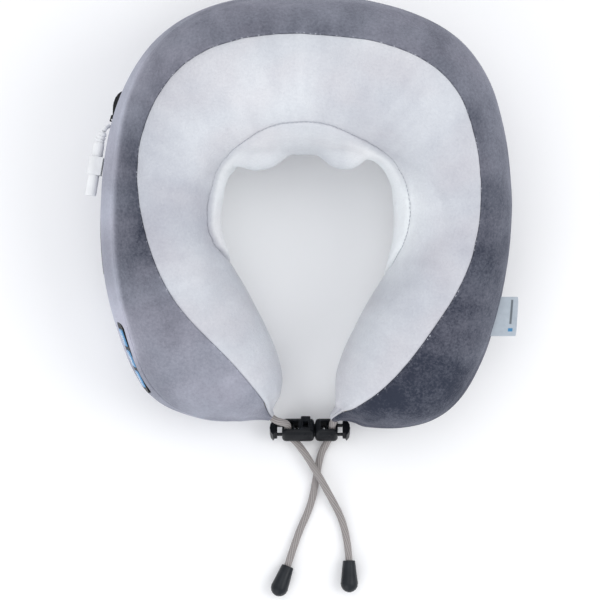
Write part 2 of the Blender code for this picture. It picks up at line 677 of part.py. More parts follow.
# Each lead's route, in millimetres, along a groove in the underside of the foam
MOTOR_LEAD = [(-96, -84, 9), (-93, -60, 9), (-93, -20, 9), (-88, 25, 9), (-66, 62, 9), (-34, 80, 9.5), (-14, 86, 11)]
BATTERY_LEAD = [(110, -33, 9), (111, -5, 9), (105, 30, 9), (82, 64, 9), (48, 82, 9.5), (20, 86, 11)]
CHARGE_LEAD = [(-112, 57, 10), (-111, 45, 9), (-106, 10, 9), (-105, -30, 9), (-104, -60, 9), (-104, -82, 9)]


def groove(name, route, width):
    points = smooth_route([[v * MM for v in p] for p in route], 14 * MM)
    bm = bmesh.new()
    loops = []
    for i, p in enumerate(points):
        ahead = points[min(i + 1, len(points) - 1)] - points[max(i - 1, 0)]
        sideways = Vector((-ahead[1], ahead[0], 0)).normalized() * width / 2
        p = Vector((p[0], p[1], 0))
        if i in (0, len(points) - 1):
            p += Vector((ahead[0], ahead[1], 0)).normalized() * (4 * MM if i else -4 * MM)
        loops.append([p - sideways - Vector((0, 0, 5 * MM)), p + sideways - Vector((0, 0, 5 * MM)),
                      p + sideways + Vector((0, 0, 16 * MM)), p - sideways + Vector((0, 0, 16 * MM))])
    rings(bm, loops)
    return mesh_object(name, bm, None)


def make_leads():
    look = material("lead_black", WIRE_BLACK, 0.5)
    grooves = []
    for name, route in (("motor_lead", MOTOR_LEAD), ("battery_lead", BATTERY_LEAD), ("charge_lead", CHARGE_LEAD)):
        tube(name, smooth_route([[v * MM for v in p] for p in route], 11 * MM), 1.5 * MM, look, 0)
        grooves.append(groove(name + "_groove", route, 6 * MM))
    return grooves


# ======================================================================== charging jack on the side wall
JACK_AXIS_LOW = Vector((-149.2, 13.9, 77)) * MM
JACK_AXIS_HIGH = Vector((-142.2, 57.0, 77)) * MM
JACK_R = 3.9 * MM


def jack_place():
    axis = (JACK_AXIS_HIGH - JACK_AXIS_LOW).normalized()
    return Matrix.Translation(JACK_AXIS_LOW) @ axis.to_track_quat("Z", "Y").to_matrix().to_4x4()


def make_jack():
    white = material("white_pvc", WHITE, 0.4)
    place = jack_place()
    body = turned("dc_jack",
                  [(JACK_R - 0.3 * MM, 0), (JACK_R, 0.4 * MM), (JACK_R, 37 * MM), (JACK_R - 0.5 * MM, 38 * MM)],
                  place, white, 24)
    cut(body, cylinder("dc_jack_bore", 3.2 * MM, -MM, 9.5 * MM, place, sides=20))
    relief = []
    for i in range(3):
        base = 38.3 * MM + i * 2.5 * MM
        radius = 3.5 * MM - i * 0.25 * MM
        relief += [(radius, base), (radius, base + 1.6 * MM), (radius - 0.7 * MM, base + 1.7 * MM),
                   (radius - 0.7 * MM, base + 2.4 * MM)]
    # The strain relief leans in towards the wall
    base = place @ Vector((0, 0, 38.3 * MM))
    lean = Matrix.Translation(base) @ Matrix.Rotation(math.radians(-13), 4, "Z") @ Matrix.Translation(-base)
    bent_place = Matrix.Translation(place.to_3x3() @ Vector((0, 0, 0.5 * MM))) @ lean @ place
    turned("jack_strain_relief", relief, bent_place, white, 12)
    start = bent_place @ Vector((0, 0, 46.4 * MM))
    ahead = bent_place.to_3x3() @ Vector((0, 0, 1))
    wall = Vector((wall_x(start.y + 4.5 * MM, 68 * MM), start.y + 4.5 * MM, 68 * MM))
    route = [start, start + ahead * 2 * MM + Vector((0.1, 0.0, -0.5)) * MM,
             wall + Vector((-3.2, -1.0, 4.6)) * MM, wall + Vector((-2.1, 0.0, 1.2)) * MM]
    tube("jack_cable", smooth_route([tuple(p) for p in route], 2.2 * MM), 1.6 * MM, white, 2)
    keeper = keeper_loop(place, white)
    return body, keeper


def keeper_loop(place, look):
    """A band of white elastic sewn to the side wall, which holds the jack."""
    low, high = 15 * MM, 28 * MM
    inside = JACK_R + 0.35 * MM
    thickness = 1.1 * MM
    wall_side = 5.0 * MM
    outline_inner, outline_outer = [], []
    for i in range(13):
        a = math.radians(90 + 180 * i / 12)
        outline_inner.append((inside * math.cos(a), inside * math.sin(a)))
        outline_outer.append(((inside + thickness) * math.cos(a), (inside + thickness) * math.sin(a)))
    outline_inner = [(wall_side, inside)] + outline_inner + [(wall_side, -inside)]
    outline_outer = [(wall_side, inside + thickness)] + outline_outer + [(wall_side, -inside - thickness)]
    # The open side faces the pillow, which is towards +X of the row
    toward = place.to_3x3().inverted() @ Vector((1, 0, 0))
    spin = Matrix.Rotation(math.atan2(toward.y, toward.x), 4, "Z")
    return prism("keeper_loop", outline_inner + outline_outer[::-1], low, high, place @ spin, look)


# ======================================================================== zip on the side wall
ZIP_Z = 46 * MM
ZIP_FIRST_Y, ZIP_LAST_Y = -42 * MM, 77 * MM
ZIP_PROUD = 1.9 * MM


def wall_x(y, z, side=-1):
    """Where the pillow's left or right side wall is at this y and height."""
    low, high = (4.0, 9.0) if side < 0 else (14.0, 19.0)
    for _ in range(40):
        s = (low + high) / 2
        angle_low, angle_high = -60.0, 60.0
        for _ in range(30):
            angle = (angle_low + angle_high) / 2
            if skin(s, angle).z < z:
                angle_low = angle
            else:
                angle_high = angle
        point = skin(s, angle)
        if (point.y < y) == (side < 0):
            low = s
        else:
            high = s
    return point.x


def zip_circle():
    """The circle that the zip's line follows: (centre x, centre y, radius)."""
    points = [(wall_x(y, ZIP_Z), y) for y in (ZIP_FIRST_Y, (ZIP_FIRST_Y + ZIP_LAST_Y) / 2, ZIP_LAST_Y)]
    (ax, ay), (bx, by), (cx, cy) = points
    d = 2 * (ax * (by - cy) + bx * (cy - ay) + cx * (ay - by))
    ux = ((ax**2 + ay**2) * (by - cy) + (bx**2 + by**2) * (cy - ay) + (cx**2 + cy**2) * (ay - by)) / d
    uy = ((ax**2 + ay**2) * (cx - bx) + (bx**2 + by**2) * (ax - cx) + (cx**2 + cy**2) * (bx - ax)) / d
    return ux, uy, math.hypot(ax - ux, ay - uy)


def make_zip():
    black = material("zip_black", BLACK, 0.45)
    cx, cy, radius = zip_circle()

    def on_circle(y, out, z):
        angle = math.asin((y - cy) / radius)
        return Vector((cx - (radius + out) * math.cos(angle), cy + (radius + out) * math.sin(angle), z))

    bm = bmesh.new()
    loops = []
    for y in np.linspace(ZIP_FIRST_Y, ZIP_LAST_Y, 20):
        loops.append([on_circle(y, out, ZIP_Z + z) for out, z in
                      ((1.1 * MM, -4 * MM), (1.1 * MM, 4 * MM), (1.7 * MM, 4 * MM), (1.7 * MM, 1.6 * MM),
                       (2.7 * MM, 1.2 * MM), (2.7 * MM, -1.2 * MM), (1.7 * MM, -1.6 * MM), (1.7 * MM, -4 * MM))])
    rings(bm, loops)
    mesh_object("zip_chain", bm, black)

    slider_y = ZIP_LAST_Y - 8 * MM
    angle = math.asin((slider_y - cy) / radius)
    # The slider's frame: +X out of the wall, +Y along the zip towards the back, +Z up
    out = Vector((-math.cos(angle), math.sin(angle), 0))
    along = Vector((math.sin(angle), math.cos(angle), 0))
    place = Matrix.Translation(on_circle(slider_y, 0, ZIP_Z)) @ Matrix(
        (out, along, Vector((0, 0, 1)))).transposed().to_4x4()
    slider = block("zip_slider", (3.0 * MM, -5 * MM, -3.6 * MM), (4.1 * MM, 5 * MM, 3.6 * MM), black, place)
    hoop = block("zip_hoop", (3.9 * MM, -1.4 * MM, -1.1 * MM), (6.5 * MM, 3.4 * MM, 1.1 * MM), place=place)
    cut(hoop, block("zip_hoop_gap", (4.1 * MM, -0.4 * MM, -2 * MM), (5.8 * MM, 2.4 * MM, 2 * MM), place=place))
    join(slider, hoop)
    # A moulded pull that bows out from the wall, in plan
    bow = [(4.55, 0.5), (5.35, 0.5), (5.45, 4.2), (6.2, 7.0), (6.9, 10.0), (7.1, 13.0), (6.8, 16.4), (5.7, 19.2),
           (4.3, 21.2), (3.4, 21.8), (3.1, 21.2), (3.05, 17.0), (3.05, 13.0), (3.3, 9.4), (4.55, 6.6)]
    pull = prism("zip_pull", [(x * MM, y * MM) for x, y in bow], -3.3 * MM, 3.3 * MM, place, black)
    cut(pull, block("zip_pull_eye", (3 * MM, 1.7 * MM, -1.5 * MM), (8 * MM, 4.6 * MM, 1.5 * MM), place=place))
    return place


# ======================================================================== tag
def make_tag():
    outline = [(139, -86.5), (153.5, -86.5), (155, -85), (156.3, -60), (155, -58.5), (143, -58)]
    look = material("satin_label", (0.55, 0.60, 0.65, 1), 0.5)
    prism("side_tag", [(x * MM, y * MM) for x, y in outline], 72 * MM, 73 * MM, Matrix.Identity(4), look)


# ======================================================================== buckle, plungers and drawcords
def buckle_place():
    return Matrix.Translation((0, BUCKLE_Y, BUCKLE_Z)) @ Matrix.Rotation(BUCKLE_TILT, 4, "X")


# In millimetres in the row frame; both cords run from an arm's tip through a cord lock to a cord end
LEFT_CORD = [(-22.6, -145.6, 25.6), (-17.4, -149.4, 24.0), (-12.0, -151.2, 20.6), (-9.3, -153.4, 16.6),
             (-9.0, -157.2, 12.1), (-8.0, -161.0, 8.2), (-3.4, -166.0, 6.9), (4.0, -175.4, 7.5),
             (12.0, -188.3, 8.4), (18.2, -199, 8.2), (24.6, -210.9, 5.8), (29.9, -221.7, 3.5),
             (33.6, -233.3, 3.1), (35.6, -244.5, 3.5), (36.4, -252.5, 4.6), (36.6, -257.6, 5.2)]
RIGHT_CORD = [(25.9, -146.6, 26.0), (25.0, -149.9, 22.2), (24.0, -153.2, 16.9), (23.9, -157.2, 12.0),
              (23.2, -161.2, 7.5), (20.6, -166.0, 4.2), (16.6, -173.6, 2.95), (14.2, -181.6, 2.95),
              (12.5, -191, 2.95), (10.9, -200, 2.95), (8.8, -210, 2.95), (5.1, -220.6, 2.95),
              (0.2, -231.8, 3.1), (-4.5, -244.5, 3.5), (-8.0, -255, 4.5), (-10.0, -261.6, 5.2)]


def cord_end(name, top, foot, look):
    """A moulded bell on a cord, from its mouth at top to its round foot."""
    axis = (foot - top).normalized()
    place = Matrix.Translation(top) @ axis.to_track_quat("Z", "Y").to_matrix().to_4x4()
    profile = [(4.4 * MM, 0), (4.6 * MM, 0.5 * MM), (6.0 * MM, 13 * MM), (6.5 * MM, 17 * MM)]
    for i in range(1, 5):
        a = math.radians(80 * i / 4)
        profile.append((6.5 * MM * math.cos(a), 17 * MM + 6.6 * MM * math.sin(a)))
    bell = turned(name, profile, place, look, 16)
    return cut(bell, cylinder(name + "_bore", CORD_R + 2 * GAP, -MM, 3.6 * MM, place, sides=16))


def make_drawcords():
    braid = material("cord_braid", CORD_GREY, 0.9)
    black = material("cord_end_black", BLACK, 0.4)
    for word, route, lean in (("left", LEFT_CORD, Vector((0.3, -23.5, 3.6))),
                              ("right", RIGHT_CORD, Vector((-8.6, -21.8, 3.6)))):
        tube(word + "_drawcord", smooth_route([[v * MM for v in p] for p in route], 6 * MM), CORD_R, braid, 2)
        end = Vector(route[-1]) * MM
        ahead = (lean * MM).normalized()
        mouth = end - ahead * 2.6 * MM
        cord_end(word + "_cord_end", mouth, mouth + lean * MM, black)


def barrel(name, x_range, look):
    body = block(name, (x_range[0], -BARREL_HALF[0], -BARREL_HALF[1]),
                 (x_range[1], BARREL_HALF[0], BARREL_HALF[1]), look, buckle_place())
    return bevel(body, 3.2 * MM, 3)


def room(name, low, high):
    return block(name, [v * MM for v in low], [v * MM for v in high], place=buckle_place())


def plunger(name, side, pad_face, web, look):
    """A spring plunger: a curved thumb pad, two rails and the web that pinches the cord.
    side is -1 where the pad points to -X. pad_face and web are x positions in millimetres."""
    place = buckle_place()
    outline = [(pad_face, 5.2), (pad_face + side * 2.2, 6.6), (pad_face + side * 3.6, 5.8),
               (pad_face + side * 5.2, 2.6), (pad_face + side * 5.6, -0.8), (pad_face + side * 4.8, -4.6),
               (pad_face + side * 3.0, -7.4), (pad_face + side * 2.0, -5.4), (pad_face, -5.2)]
    body = prism(name, [(x * MM, y * MM) for x, y in outline], -3.9 * MM, 3.9 * MM, place, look)
    for word, y in (("upper", 4.15), ("lower", -4.15)):
        ends = sorted((pad_face + side * 0.6, web[1]))
        rail = block(f"{name}_{word}_rail", (ends[0] * MM, (y - 0.6) * MM, -1.3 * MM),
                     (ends[1] * MM, (y + 0.6) * MM, 1.3 * MM), place=place)
        join(body, rail)
    ends = sorted(web)
    join(body, block(name + "_web", (ends[0] * MM, -4.4 * MM, -3.1 * MM),
                     (ends[1] * MM, 4.4 * MM, 3.1 * MM), place=place))
    return body


def coil(name, first, last, turns, look):
    """A compression spring along the buckle, between two x positions in millimetres."""
    place = buckle_place()
    points = []
    steps = turns * 8
    for i in range(steps + 1):
        a = TURN * turns * i / steps
        x = first + (last - first) * i / steps
        points.append(place @ Vector((x * MM, 2.1 * MM * math.cos(a), 2.1 * MM * math.sin(a))))
    return tube(name, points, 0.3 * MM, look, 0)


def make_buckle():
    black = material("buckle_black", BLACK, 0.35)
    steel = material("spring_steel", STEEL, 0.25, 1.0)
    socket = barrel("buckle_socket", SOCKET_X, black)
    join(socket, bevel(room("socket_latch_frame", (0.6, -4.6, 3.5), (7.8, 7.9, 7.1)), 0.8 * MM, 2))
    cut(socket, room("socket_plunger_room", (-20, -5, -3.6), (0.3, 5, 3.6)),
        room("socket_window", (-12.3, -3.8, -9), (-1.0, 3.8, 9)),
        room("socket_plug_room", (1.4, -4.9, -3.2), (20, 4.9, 3.2)),
        room("socket_latch_window", (2.2, -2.7, 0), (6.2, 2.7, 9)))
    plug = barrel("buckle_plug", PLUG_X, black)
    join(plug, room("plug_tongue", (2.0, -4.4, -2.6), (13, 4.4, 1.7)),
         room("plug_latch", (2.8, -2.2, 0), (5.6, 2.2, 2.9)))
    cut(plug, room("plug_plunger_room", (14.2, -5, -3.6), (40, 5, 3.6)),
        room("plug_window", (15.4, -3.8, -9), (27.0, 3.8, 9)))
    plunger("left_plunger", -1, -13.5 - 3.4, (-5.4, -4.4), black)
    plunger("right_plunger", 1, 28.2 + 3.4, (20.4, 19.4), black)
    coil("left_spring", -4.0, -0.1, 3, steel)
    coil("right_spring", 14.6, 19.0, 3, steel)


# ======================================================================== the whole object
def main():
    clear_scene()
    top, border, side, base, collar = make_cover()
    foam = make_foam()
    make_housing()
    make_bushes()
    make_motor()
    make_worm()
    make_rotor(-1, "left")
    make_rotor(1, "right")
    control_recess = make_controls()
    cut(side, control_recess)
    cut(border, control_recess)
    cut(foam, *recess_cutters(), control_recess, make_battery(), *make_leads())
    make_jack()
    make_zip()
    make_tag()
    make_buckle()
    make_drawcords()


main()
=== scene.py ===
"""Looks of the U-shaped shiatsu neck massager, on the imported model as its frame.

Metres, in the row frame: +Z up, the arms point to -Y, the jack and the keys are on the -X side wall.
"""

import math

import bmesh
import bpy
import numpy as np
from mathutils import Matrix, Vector
from mathutils.bvhtree import BVHTree


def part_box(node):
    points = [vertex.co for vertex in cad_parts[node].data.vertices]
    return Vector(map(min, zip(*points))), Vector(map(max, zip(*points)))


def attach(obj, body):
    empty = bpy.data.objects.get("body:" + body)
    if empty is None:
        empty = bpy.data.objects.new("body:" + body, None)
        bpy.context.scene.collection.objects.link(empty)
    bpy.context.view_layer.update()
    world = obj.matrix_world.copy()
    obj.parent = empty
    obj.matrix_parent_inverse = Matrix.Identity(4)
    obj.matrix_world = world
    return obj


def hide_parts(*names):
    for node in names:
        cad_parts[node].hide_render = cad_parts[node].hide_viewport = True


MM = 0.001
TURN = 2 * math.pi

# ---- camera, lamps (name, place, aim, diameter, watts, colour), sky and floor
CAMERA_AT, CAMERA_LENS, CAMERA_SENSOR, CAMERA_CLIP = (0.0, -0.0605, 1.6), 128.2, 36, (0.05, 20)
LAMPS = [
    ("key", (1.15, 0.0, 1.35), (-0.03, 0, 0.07), 1.1, 7.6, (1.0, 0.995, 0.985)),
    ("overhead", (-0.3, 0.6, 1.9), (0, 0, 0.05), 1.4, 5, (0.98, 0.99, 1.0)),
    ("fill", (-0.8, -1.3, 0.9), (0, 0.02, 0.08), 1.2, 5.5, (0.97, 0.985, 1.0)),
]
SKY_COLOUR, SKY_STRENGTH = (0.96, 0.97, 1.0, 1), 0.84
FLOOR_HALF, FLOOR_Z, FLOOR_COLOUR = 4, -0.4 * MM, (0.97, 0.972, 0.975)

# ---- pillow outline, in millimetres, as in the CAD: outer x, outer y, inner x, inner y by station
STATIONS = [
    (-24, -144, -24, -144),
    (-50, -148.5, -14, -124),
    (-84, -143, -18.5, -99),
    (-112, -124.5, -30, -73),
    (-129, -90, -43.5, -49),
    (-139, -52, -53, -29),
    (-142.6, -10, -58.2, -8),
    (-140.4, 36, -57, 14),
    (-128.5, 82.5, -51.5, 31),
    (-100, 126, -36, 41),
    (-52, 150.5, -16, 45),
    (3.5, 155.5, 2, 45.5),
    (57, 149.5, 20, 45),
    (104, 130.5, 42, 43),
    (134, 95.5, 60.5, 35),
    (147.5, 49, 68.5, 14),
    (151.2, 0, 69.5, -6),
    (147, -45, 64.5, -34),
    (137.5, -87, 51, -62),
    (120, -126, 38, -86),
    (93, -148.5, 28, -109),
    (56, -153.5, 25.5, -130),
    (27, -145, 27, -145),
]
LAST = len(STATIONS) - 1
TOP_HEIGHTS = [26, 72, 91, 100, 107, 114, 122, 131, 140, 147, 150, 150]
WAIST_HEIGHTS = [26, 36, 44, 48, 52, 56, 60, 64, 68, 71, 73, 74]
BASE_HEIGHTS = [26, -4, -6, -6, -6, -6, -6, -6, -6, -6, -6, -6]
SECTION_POWER = 2.35
TOP_SEAM = [-0.3, -0.3, -0.33, -0.26, -0.08, 0.06, 0.2, 0.34, 0.38, 0.38, 0.38, 0.37,
            0.38, 0.38, 0.39, 0.39, 0.365, 0.26, 0.07, -0.07, -0.14, -0.22, -0.3]
COLLAR_SEAM = [224, 160, 144, 149, 157, 147, 135, 132, 135, 149, 159, 144, 142, 158, 224]
COLLAR_FIRST, COLLAR_LAST = 4.3, 17.7
EDGE_SEAM = [24, 24, 28, 34, 41, 46, 48, 48, 43, 35, 27, 22, 20, 18, 16, 14, 14, 14, 16, 18, 20, 22, 24]
BASE_OUTER, BASE_INNER = -52.0, 232.0
DRIVE_X, ROTOR_HALF_SPACING, ROTOR_Z = 1.9 * MM, 28.5 * MM, 78 * MM
BUMP_DEPTH, BUMP_FLAT_R, BUMP_EDGE_R = 9.8 * MM, 3 * MM, 23.5 * MM

# ---- cloth grid: rows across each panel, from the side wall's foot over the top to the base
SIDE_ROWS, BORDER_ROWS, TOP_ROWS, COLLAR_ROWS, BASE_ROWS = 26, 20, 36, 28, 18
SEAM_ROWS = np.cumsum([0, SIDE_ROWS, BORDER_ROWS, TOP_ROWS, COLLAR_ROWS, BASE_ROWS])
COLUMNS = 300
STITCH = 2.2 * MM

# ---- cords, in millimetres, as in the CAD
CORD_R = 2.7 * MM
LEFT_CORD = [(-22.6, -145.6, 25.6), (-17.4, -149.4, 24.0), (-12.0, -151.2, 20.6), (-9.3, -153.4, 16.6),
             (-9.0, -157.2, 12.1), (-8.0, -161.0, 8.2), (-3.4, -166.0, 6.9), (4.0, -175.4, 7.5),
             (12.0, -188.3, 8.4), (18.2, -199, 8.2), (24.6, -210.9, 5.8), (29.9, -221.7, 3.5),
             (33.6, -233.3, 3.1), (35.6, -244.5, 3.5), (36.4, -252.5, 4.6), (36.6, -257.6, 5.2)]
RIGHT_CORD = [(25.9, -146.6, 26.0), (25.0, -149.9, 22.2), (24.0, -153.2, 16.9), (23.9, -157.2, 12.0),
              (23.2, -161.2, 7.5), (20.6, -166.0, 4.2), (16.6, -173.6, 2.95), (14.2, -181.6, 2.95),
              (12.5, -191, 2.95), (10.9, -200, 2.95), (8.8, -210, 2.95), (5.1, -220.6, 2.95),
              (0.2, -231.8, 3.1), (-4.5, -244.5, 3.5), (-8.0, -255, 4.5), (-10.0, -261.6, 5.2)]

# ---- key strip, as in the CAD: half length and half width, corner, bend; and the cloth's lip round it
STRIP_HALF, STRIP_CORNER, STRIP_BEND_R, STRIP_LIP = (28 * MM, 6.5 * MM), 4 * MM, 300 * MM, 0.35 * MM
# ---- each arm's end, round its cord: how far along the cord, and the radius
TIP_RINGS = ((2.0 * MM, 2.9 * MM), (1.9 * MM, 3.5 * MM), (-1.6 * MM, 4.5 * MM))

# ---- the zip's line on the side wall follows a circle about this point
ZIP_CENTRE = (129.00 * MM, -6.21 * MM)
ZIP_PITCH = 1.35 * MM

# ---- cover: each seam's number, groove depth and width, and pucker, in millimetres. 0 is the side
# wall's foot, 1 the edge between side and border, 2 the pale cloth's outer seam, 3 the collar's,
# 4 the neck side's foot
SEAMS = (
    (0, 2.0, 3.2, 0.25),
    (1, -0.9, 3.0, 0.0),
    (2, 0.55, 1.8, 0.34),
    (3, 1.1, 2.2, 0.36),
    (4, 2.0, 3.2, 0.3),
)
CLOTH_THICKNESS, BINDING_THICKNESS, BINDING_DEPTH = 1.6 * MM, 0.7 * MM, 0.9 * MM
THREAD_R = 0.24 * MM

# ---- cloth simulation, on a coarser grid of columns
SIM_COLUMNS, SIM_STEPS, SIM_REACH = 132, 18, 3.5 * MM
SIM_SETTINGS = dict(quality=6, mass=0.25, tension_stiffness=12, compression_stiffness=8, shear_stiffness=4,
                    bending_stiffness=0.6, vertex_group_mass="held", pin_stiffness=1.0, shrink_min=-0.012,
                    use_pressure=True, uniform_pressure_force=4.0)
SWELL_LIMITS = (-1.0 * MM, 2.0 * MM)

# ---- painted sheen and shade of the pile, by station, and the colours that stand for 0 and 1
GREY_PAINTED_SHEEN = [0.50, 0.55, 0.58, 0.54, 0.46, 0.29, 0.19, 0.21, 0.36, 0.40, 0.35, 0.33,
            0.32, 0.26, 0.23, 0.17, 0.14, 0.12, 0.11, 0.085, 0.075, 0.08, 0.08]
PALE_PAINTED_SHEEN = [0.30, 0.30, 0.28, 0.26, 0.23, 0.18, 0.15, 0.18, 0.27, 0.34, 0.40, 0.40,
            0.38, 0.31, 0.25, 0.17, 0.16, 0.19, 0.26, 0.33, 0.36, 0.36, 0.36]
COLLAR_PAINTED_SHEEN = ([-62, -50, -36, 30, 48, 66], [0.90, 0.90, 0.58, 0.50, 1.0, 1.1])
GREY_DARK, GREY_LIGHT = (0.032, 0.038, 0.058), (0.50, 0.515, 0.60)
PALE_DARK, PALE_LIGHT = (0.43, 0.445, 0.50), (0.93, 0.96, 0.975)

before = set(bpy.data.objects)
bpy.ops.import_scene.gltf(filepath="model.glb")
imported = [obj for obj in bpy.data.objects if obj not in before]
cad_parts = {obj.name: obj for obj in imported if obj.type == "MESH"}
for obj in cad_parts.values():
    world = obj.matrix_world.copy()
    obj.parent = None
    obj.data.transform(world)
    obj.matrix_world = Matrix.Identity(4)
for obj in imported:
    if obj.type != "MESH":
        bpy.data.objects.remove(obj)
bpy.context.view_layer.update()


# ======================================================================== camera, light, floor
def show(name, data):
    """A new object in the scene."""
    obj = bpy.data.objects.new(name, data)
    bpy.context.scene.collection.objects.link(obj)
    return obj


def make_camera():
    data = bpy.data.cameras.new("camera")
    data.sensor_width = CAMERA_SENSOR
    data.lens = CAMERA_LENS
    data.clip_start, data.clip_end = CAMERA_CLIP
    camera = show("camera", data)
    camera.location = CAMERA_AT
    camera.rotation_euler = (0, 0, 0)
    bpy.context.scene.camera = camera


def make_studio():
    scene = bpy.context.scene
    for name, place, aim, size, power, colour in LAMPS:
        data = bpy.data.lights.new(name, "AREA")
        data.shape = "DISK"
        data.size = size
        data.energy = power
        data.color = colour
        lamp = show(name, data)
        lamp.location = place
        lamp.rotation_euler = (Vector(aim) - Vector(place)).to_track_quat("-Z", "Y").to_euler()
    scene.world = bpy.data.worlds.new("studio")
    scene.world.use_nodes = True
    sky = scene.world.node_tree.nodes["Background"]
    sky.inputs["Color"].default_value = SKY_COLOUR
    sky.inputs["Strength"].default_value = SKY_STRENGTH
    scene.view_settings.view_transform = "Standard"
    bm = bmesh.new()
    bmesh.ops.create_grid(bm, x_segments=1, y_segments=1, size=FLOOR_HALF)
    mesh = bpy.data.meshes.new("floor")
    bm.to_mesh(mesh)
    bm.free()
    floor = show("floor", mesh)
    floor.location.z = FLOOR_Z
    mesh.materials.append(Look("studio_floor", FLOOR_COLOUR, 0.8).material)


# ======================================================================== materials
class Look:
    """A Principled material with small helpers for its procedural nodes."""

    def __init__(self, name, colour, roughness, metallic=0.0):
        self.material = bpy.data.materials.new(name)
        self.material.use_nodes = True
        self.tree = self.material.node_tree
        self.shader = self.tree.nodes["Principled BSDF"]
        self.shader.inputs["Base Color"].default_value = (*colour, 1)
        self.shader.inputs["Roughness"].default_value = roughness
        self.shader.inputs["Metallic"].default_value = metallic
        self.material.diffuse_color = (*colour, 1)
        self.place = None
        self.height = None

    def node(self, kind, **settings):
        made = self.tree.nodes.new(kind)
        for key, value in settings.items():
            setattr(made, key, value)
        return made

    def link(self, a, b):
        self.tree.links.new(a, b)

    def coords(self):
        if self.place is None:
            self.place = self.node("ShaderNodeTexCoord").outputs["Object"]
        return self.place

    def noise(self, scale, detail=3.0, roughness=0.55, stretch=None, source=None):
        source = source or self.coords()
        if stretch is not None:
            mapping = self.node("ShaderNodeMapping")
            mapping.inputs["Scale"].default_value = stretch
            self.link(source, mapping.inputs["Vector"])
            source = mapping.outputs["Vector"]
        texture = self.node("ShaderNodeTexNoise")
        texture.inputs["Scale"].default_value = scale
        texture.inputs["Detail"].default_value = detail
        texture.inputs["Roughness"].default_value = roughness
        self.link(source, texture.inputs["Vector"])
        return texture.outputs["Fac"]

    def attribute(self, name):
        return self.node("ShaderNodeAttribute", attribute_name=name).outputs["Fac"]

    def ramp(self, value, *stops):
        ramp = self.node("ShaderNodeValToRGB")
        while len(ramp.color_ramp.elements) < len(stops):
            ramp.color_ramp.elements.new(0.5)
        for element, (position, colour) in zip(ramp.color_ramp.elements, stops):
            element.position = position
            element.color = (*colour, 1) if len(colour) == 3 else colour
        self.link(value, ramp.inputs["Fac"])
        return ramp.outputs["Color"]

    def grey_ramp(self, value, low, high, first=0.3, last=0.7):
        return self.ramp(value, (first, (low,) * 3), (last, (high,) * 3))

    def math(self, operation, a, b=None):
        made = self.node("ShaderNodeMath", operation=operation)
        for socket, value in zip(made.inputs, (a, b)):
            if value is None:
                continue
            if isinstance(value, (int, float)):
                socket.default_value = value
            else:
                self.link(value, socket)
        return made.outputs["Value"]

    def mix(self, kind, factor, a, b):
        made = self.node("ShaderNodeMix", data_type="RGBA", blend_type=kind)
        for name, value in (("Factor", factor), ("A", a), ("B", b)):
            socket = next(i for i in made.inputs if i.name == name and i.enabled)
            if isinstance(value, (int, float)):
                socket.default_value = value
            elif isinstance(value, tuple):
                socket.default_value = (*value, 1)
            else:
                self.link(value, socket)
        return next(o for o in made.outputs if o.enabled)

    def base(self, colour):
        self.link(colour, self.shader.inputs["Base Color"])

    def roughen(self, value):
        self.link(value, self.shader.inputs["Roughness"])

    def bump(self, value, distance, strength=1.0):
        bump = self.node("ShaderNodeBump")
        bump.inputs["Distance"].default_value = distance
        bump.inputs["Strength"].default_value = strength
        self.link(value, bump.inputs["Height"])
        if self.height is not None:
            self.link(self.height, bump.inputs["Normal"])
        self.height = bump.outputs["Normal"]
        self.link(self.height, self.shader.inputs["Normal"])

    def sheen(self, weight, roughness, tint):
        self.shader.inputs["Sheen Weight"].default_value = weight
        self.shader.inputs["Sheen Roughness"].default_value = roughness
        self.shader.inputs["Sheen Tint"].default_value = (*tint, 1)


def velour(name, dark, light, tint, sheen, other, grain):
    """Short-pile velour. Its colour runs from dark to light with a vertex attribute of painted sheen and
    shade, with the cloth's mottled tone in it, and the attribute border is how near the other cloth's seam
    is, where the two piles mingle. tint is a second hue, and grain how much single tufts and patches differ."""
    look = Look(name, light, 0.95)
    cloud = look.noise(24, 4, 0.6)
    brushed = look.noise(75, 4, 0.65, (1.0, 0.5, 0.8))
    tufts = look.noise(520, 3, 0.65)
    fine = look.noise(1700, 2, 0.7)
    # the vertex attribute read here is painted sheen and shade, with a random mottle of the cloth's tone
    total = look.attribute("tone_and_painted_light")
    for noise, share in ((cloud, 0.26), (brushed, 0.26), (tufts, 0.36), (fine, 0.16)):
        swing = look.math("SUBTRACT", noise, 0.5)
        total = look.math("ADD", total, look.math("MULTIPLY", swing, share * grain))
    colour = look.ramp(total, (0.0, dark), (1.0, light))
    hue = look.grey_ramp(look.noise(17, 2, 0.5, (1, 1.3, 1)), 0.0, 1.0, 0.42, 0.62)
    colour = look.mix("MULTIPLY", hue, colour, tint)
    border = look.math("MULTIPLY", look.math("SUBTRACT", tufts, 0.5), 1.0)
    border = look.math("ADD", look.attribute("border"), border)
    colour = look.mix("MIX", look.grey_ramp(border, 0.0, 1.0, 0.93, 1.05), colour, other)
    look.base(colour)
    look.sheen(sheen, 0.45, tuple(min(1.0, 1.2 * c + 0.12) for c in light))
    look.shader.inputs["Specular IOR Level"].default_value = 0.1
    look.bump(tufts, 0.8 * MM, 0.55)
    look.bump(fine, 0.35 * MM, 0.8)
    return look.material


def plastic(name, colour, roughness=0.45, grain=0.05, texture=900, wear=0.06, coat=0.0, shine=0.5):
    look = Look(name, colour, roughness)
    look.shader.inputs["Specular IOR Level"].default_value = shine
    patches = look.noise(60, 3)
    darker = tuple(max(0.0, c * (1 - wear * 2)) for c in colour)
    lighter = tuple(min(1.0, c * (1 + wear) + wear * 0.12) for c in colour)
    look.base(look.ramp(patches, (0.3, darker), (0.7, lighter)))
    look.roughen(look.grey_ramp(look.noise(240, 4), max(0.03, roughness - 0.07), min(1, roughness + 0.09)))
    look.bump(look.noise(texture, 3), grain * MM, 0.6)
    look.shader.inputs["Coat Weight"].default_value = coat
    look.shader.inputs["Coat Roughness"].default_value = 0.08
    return look.material


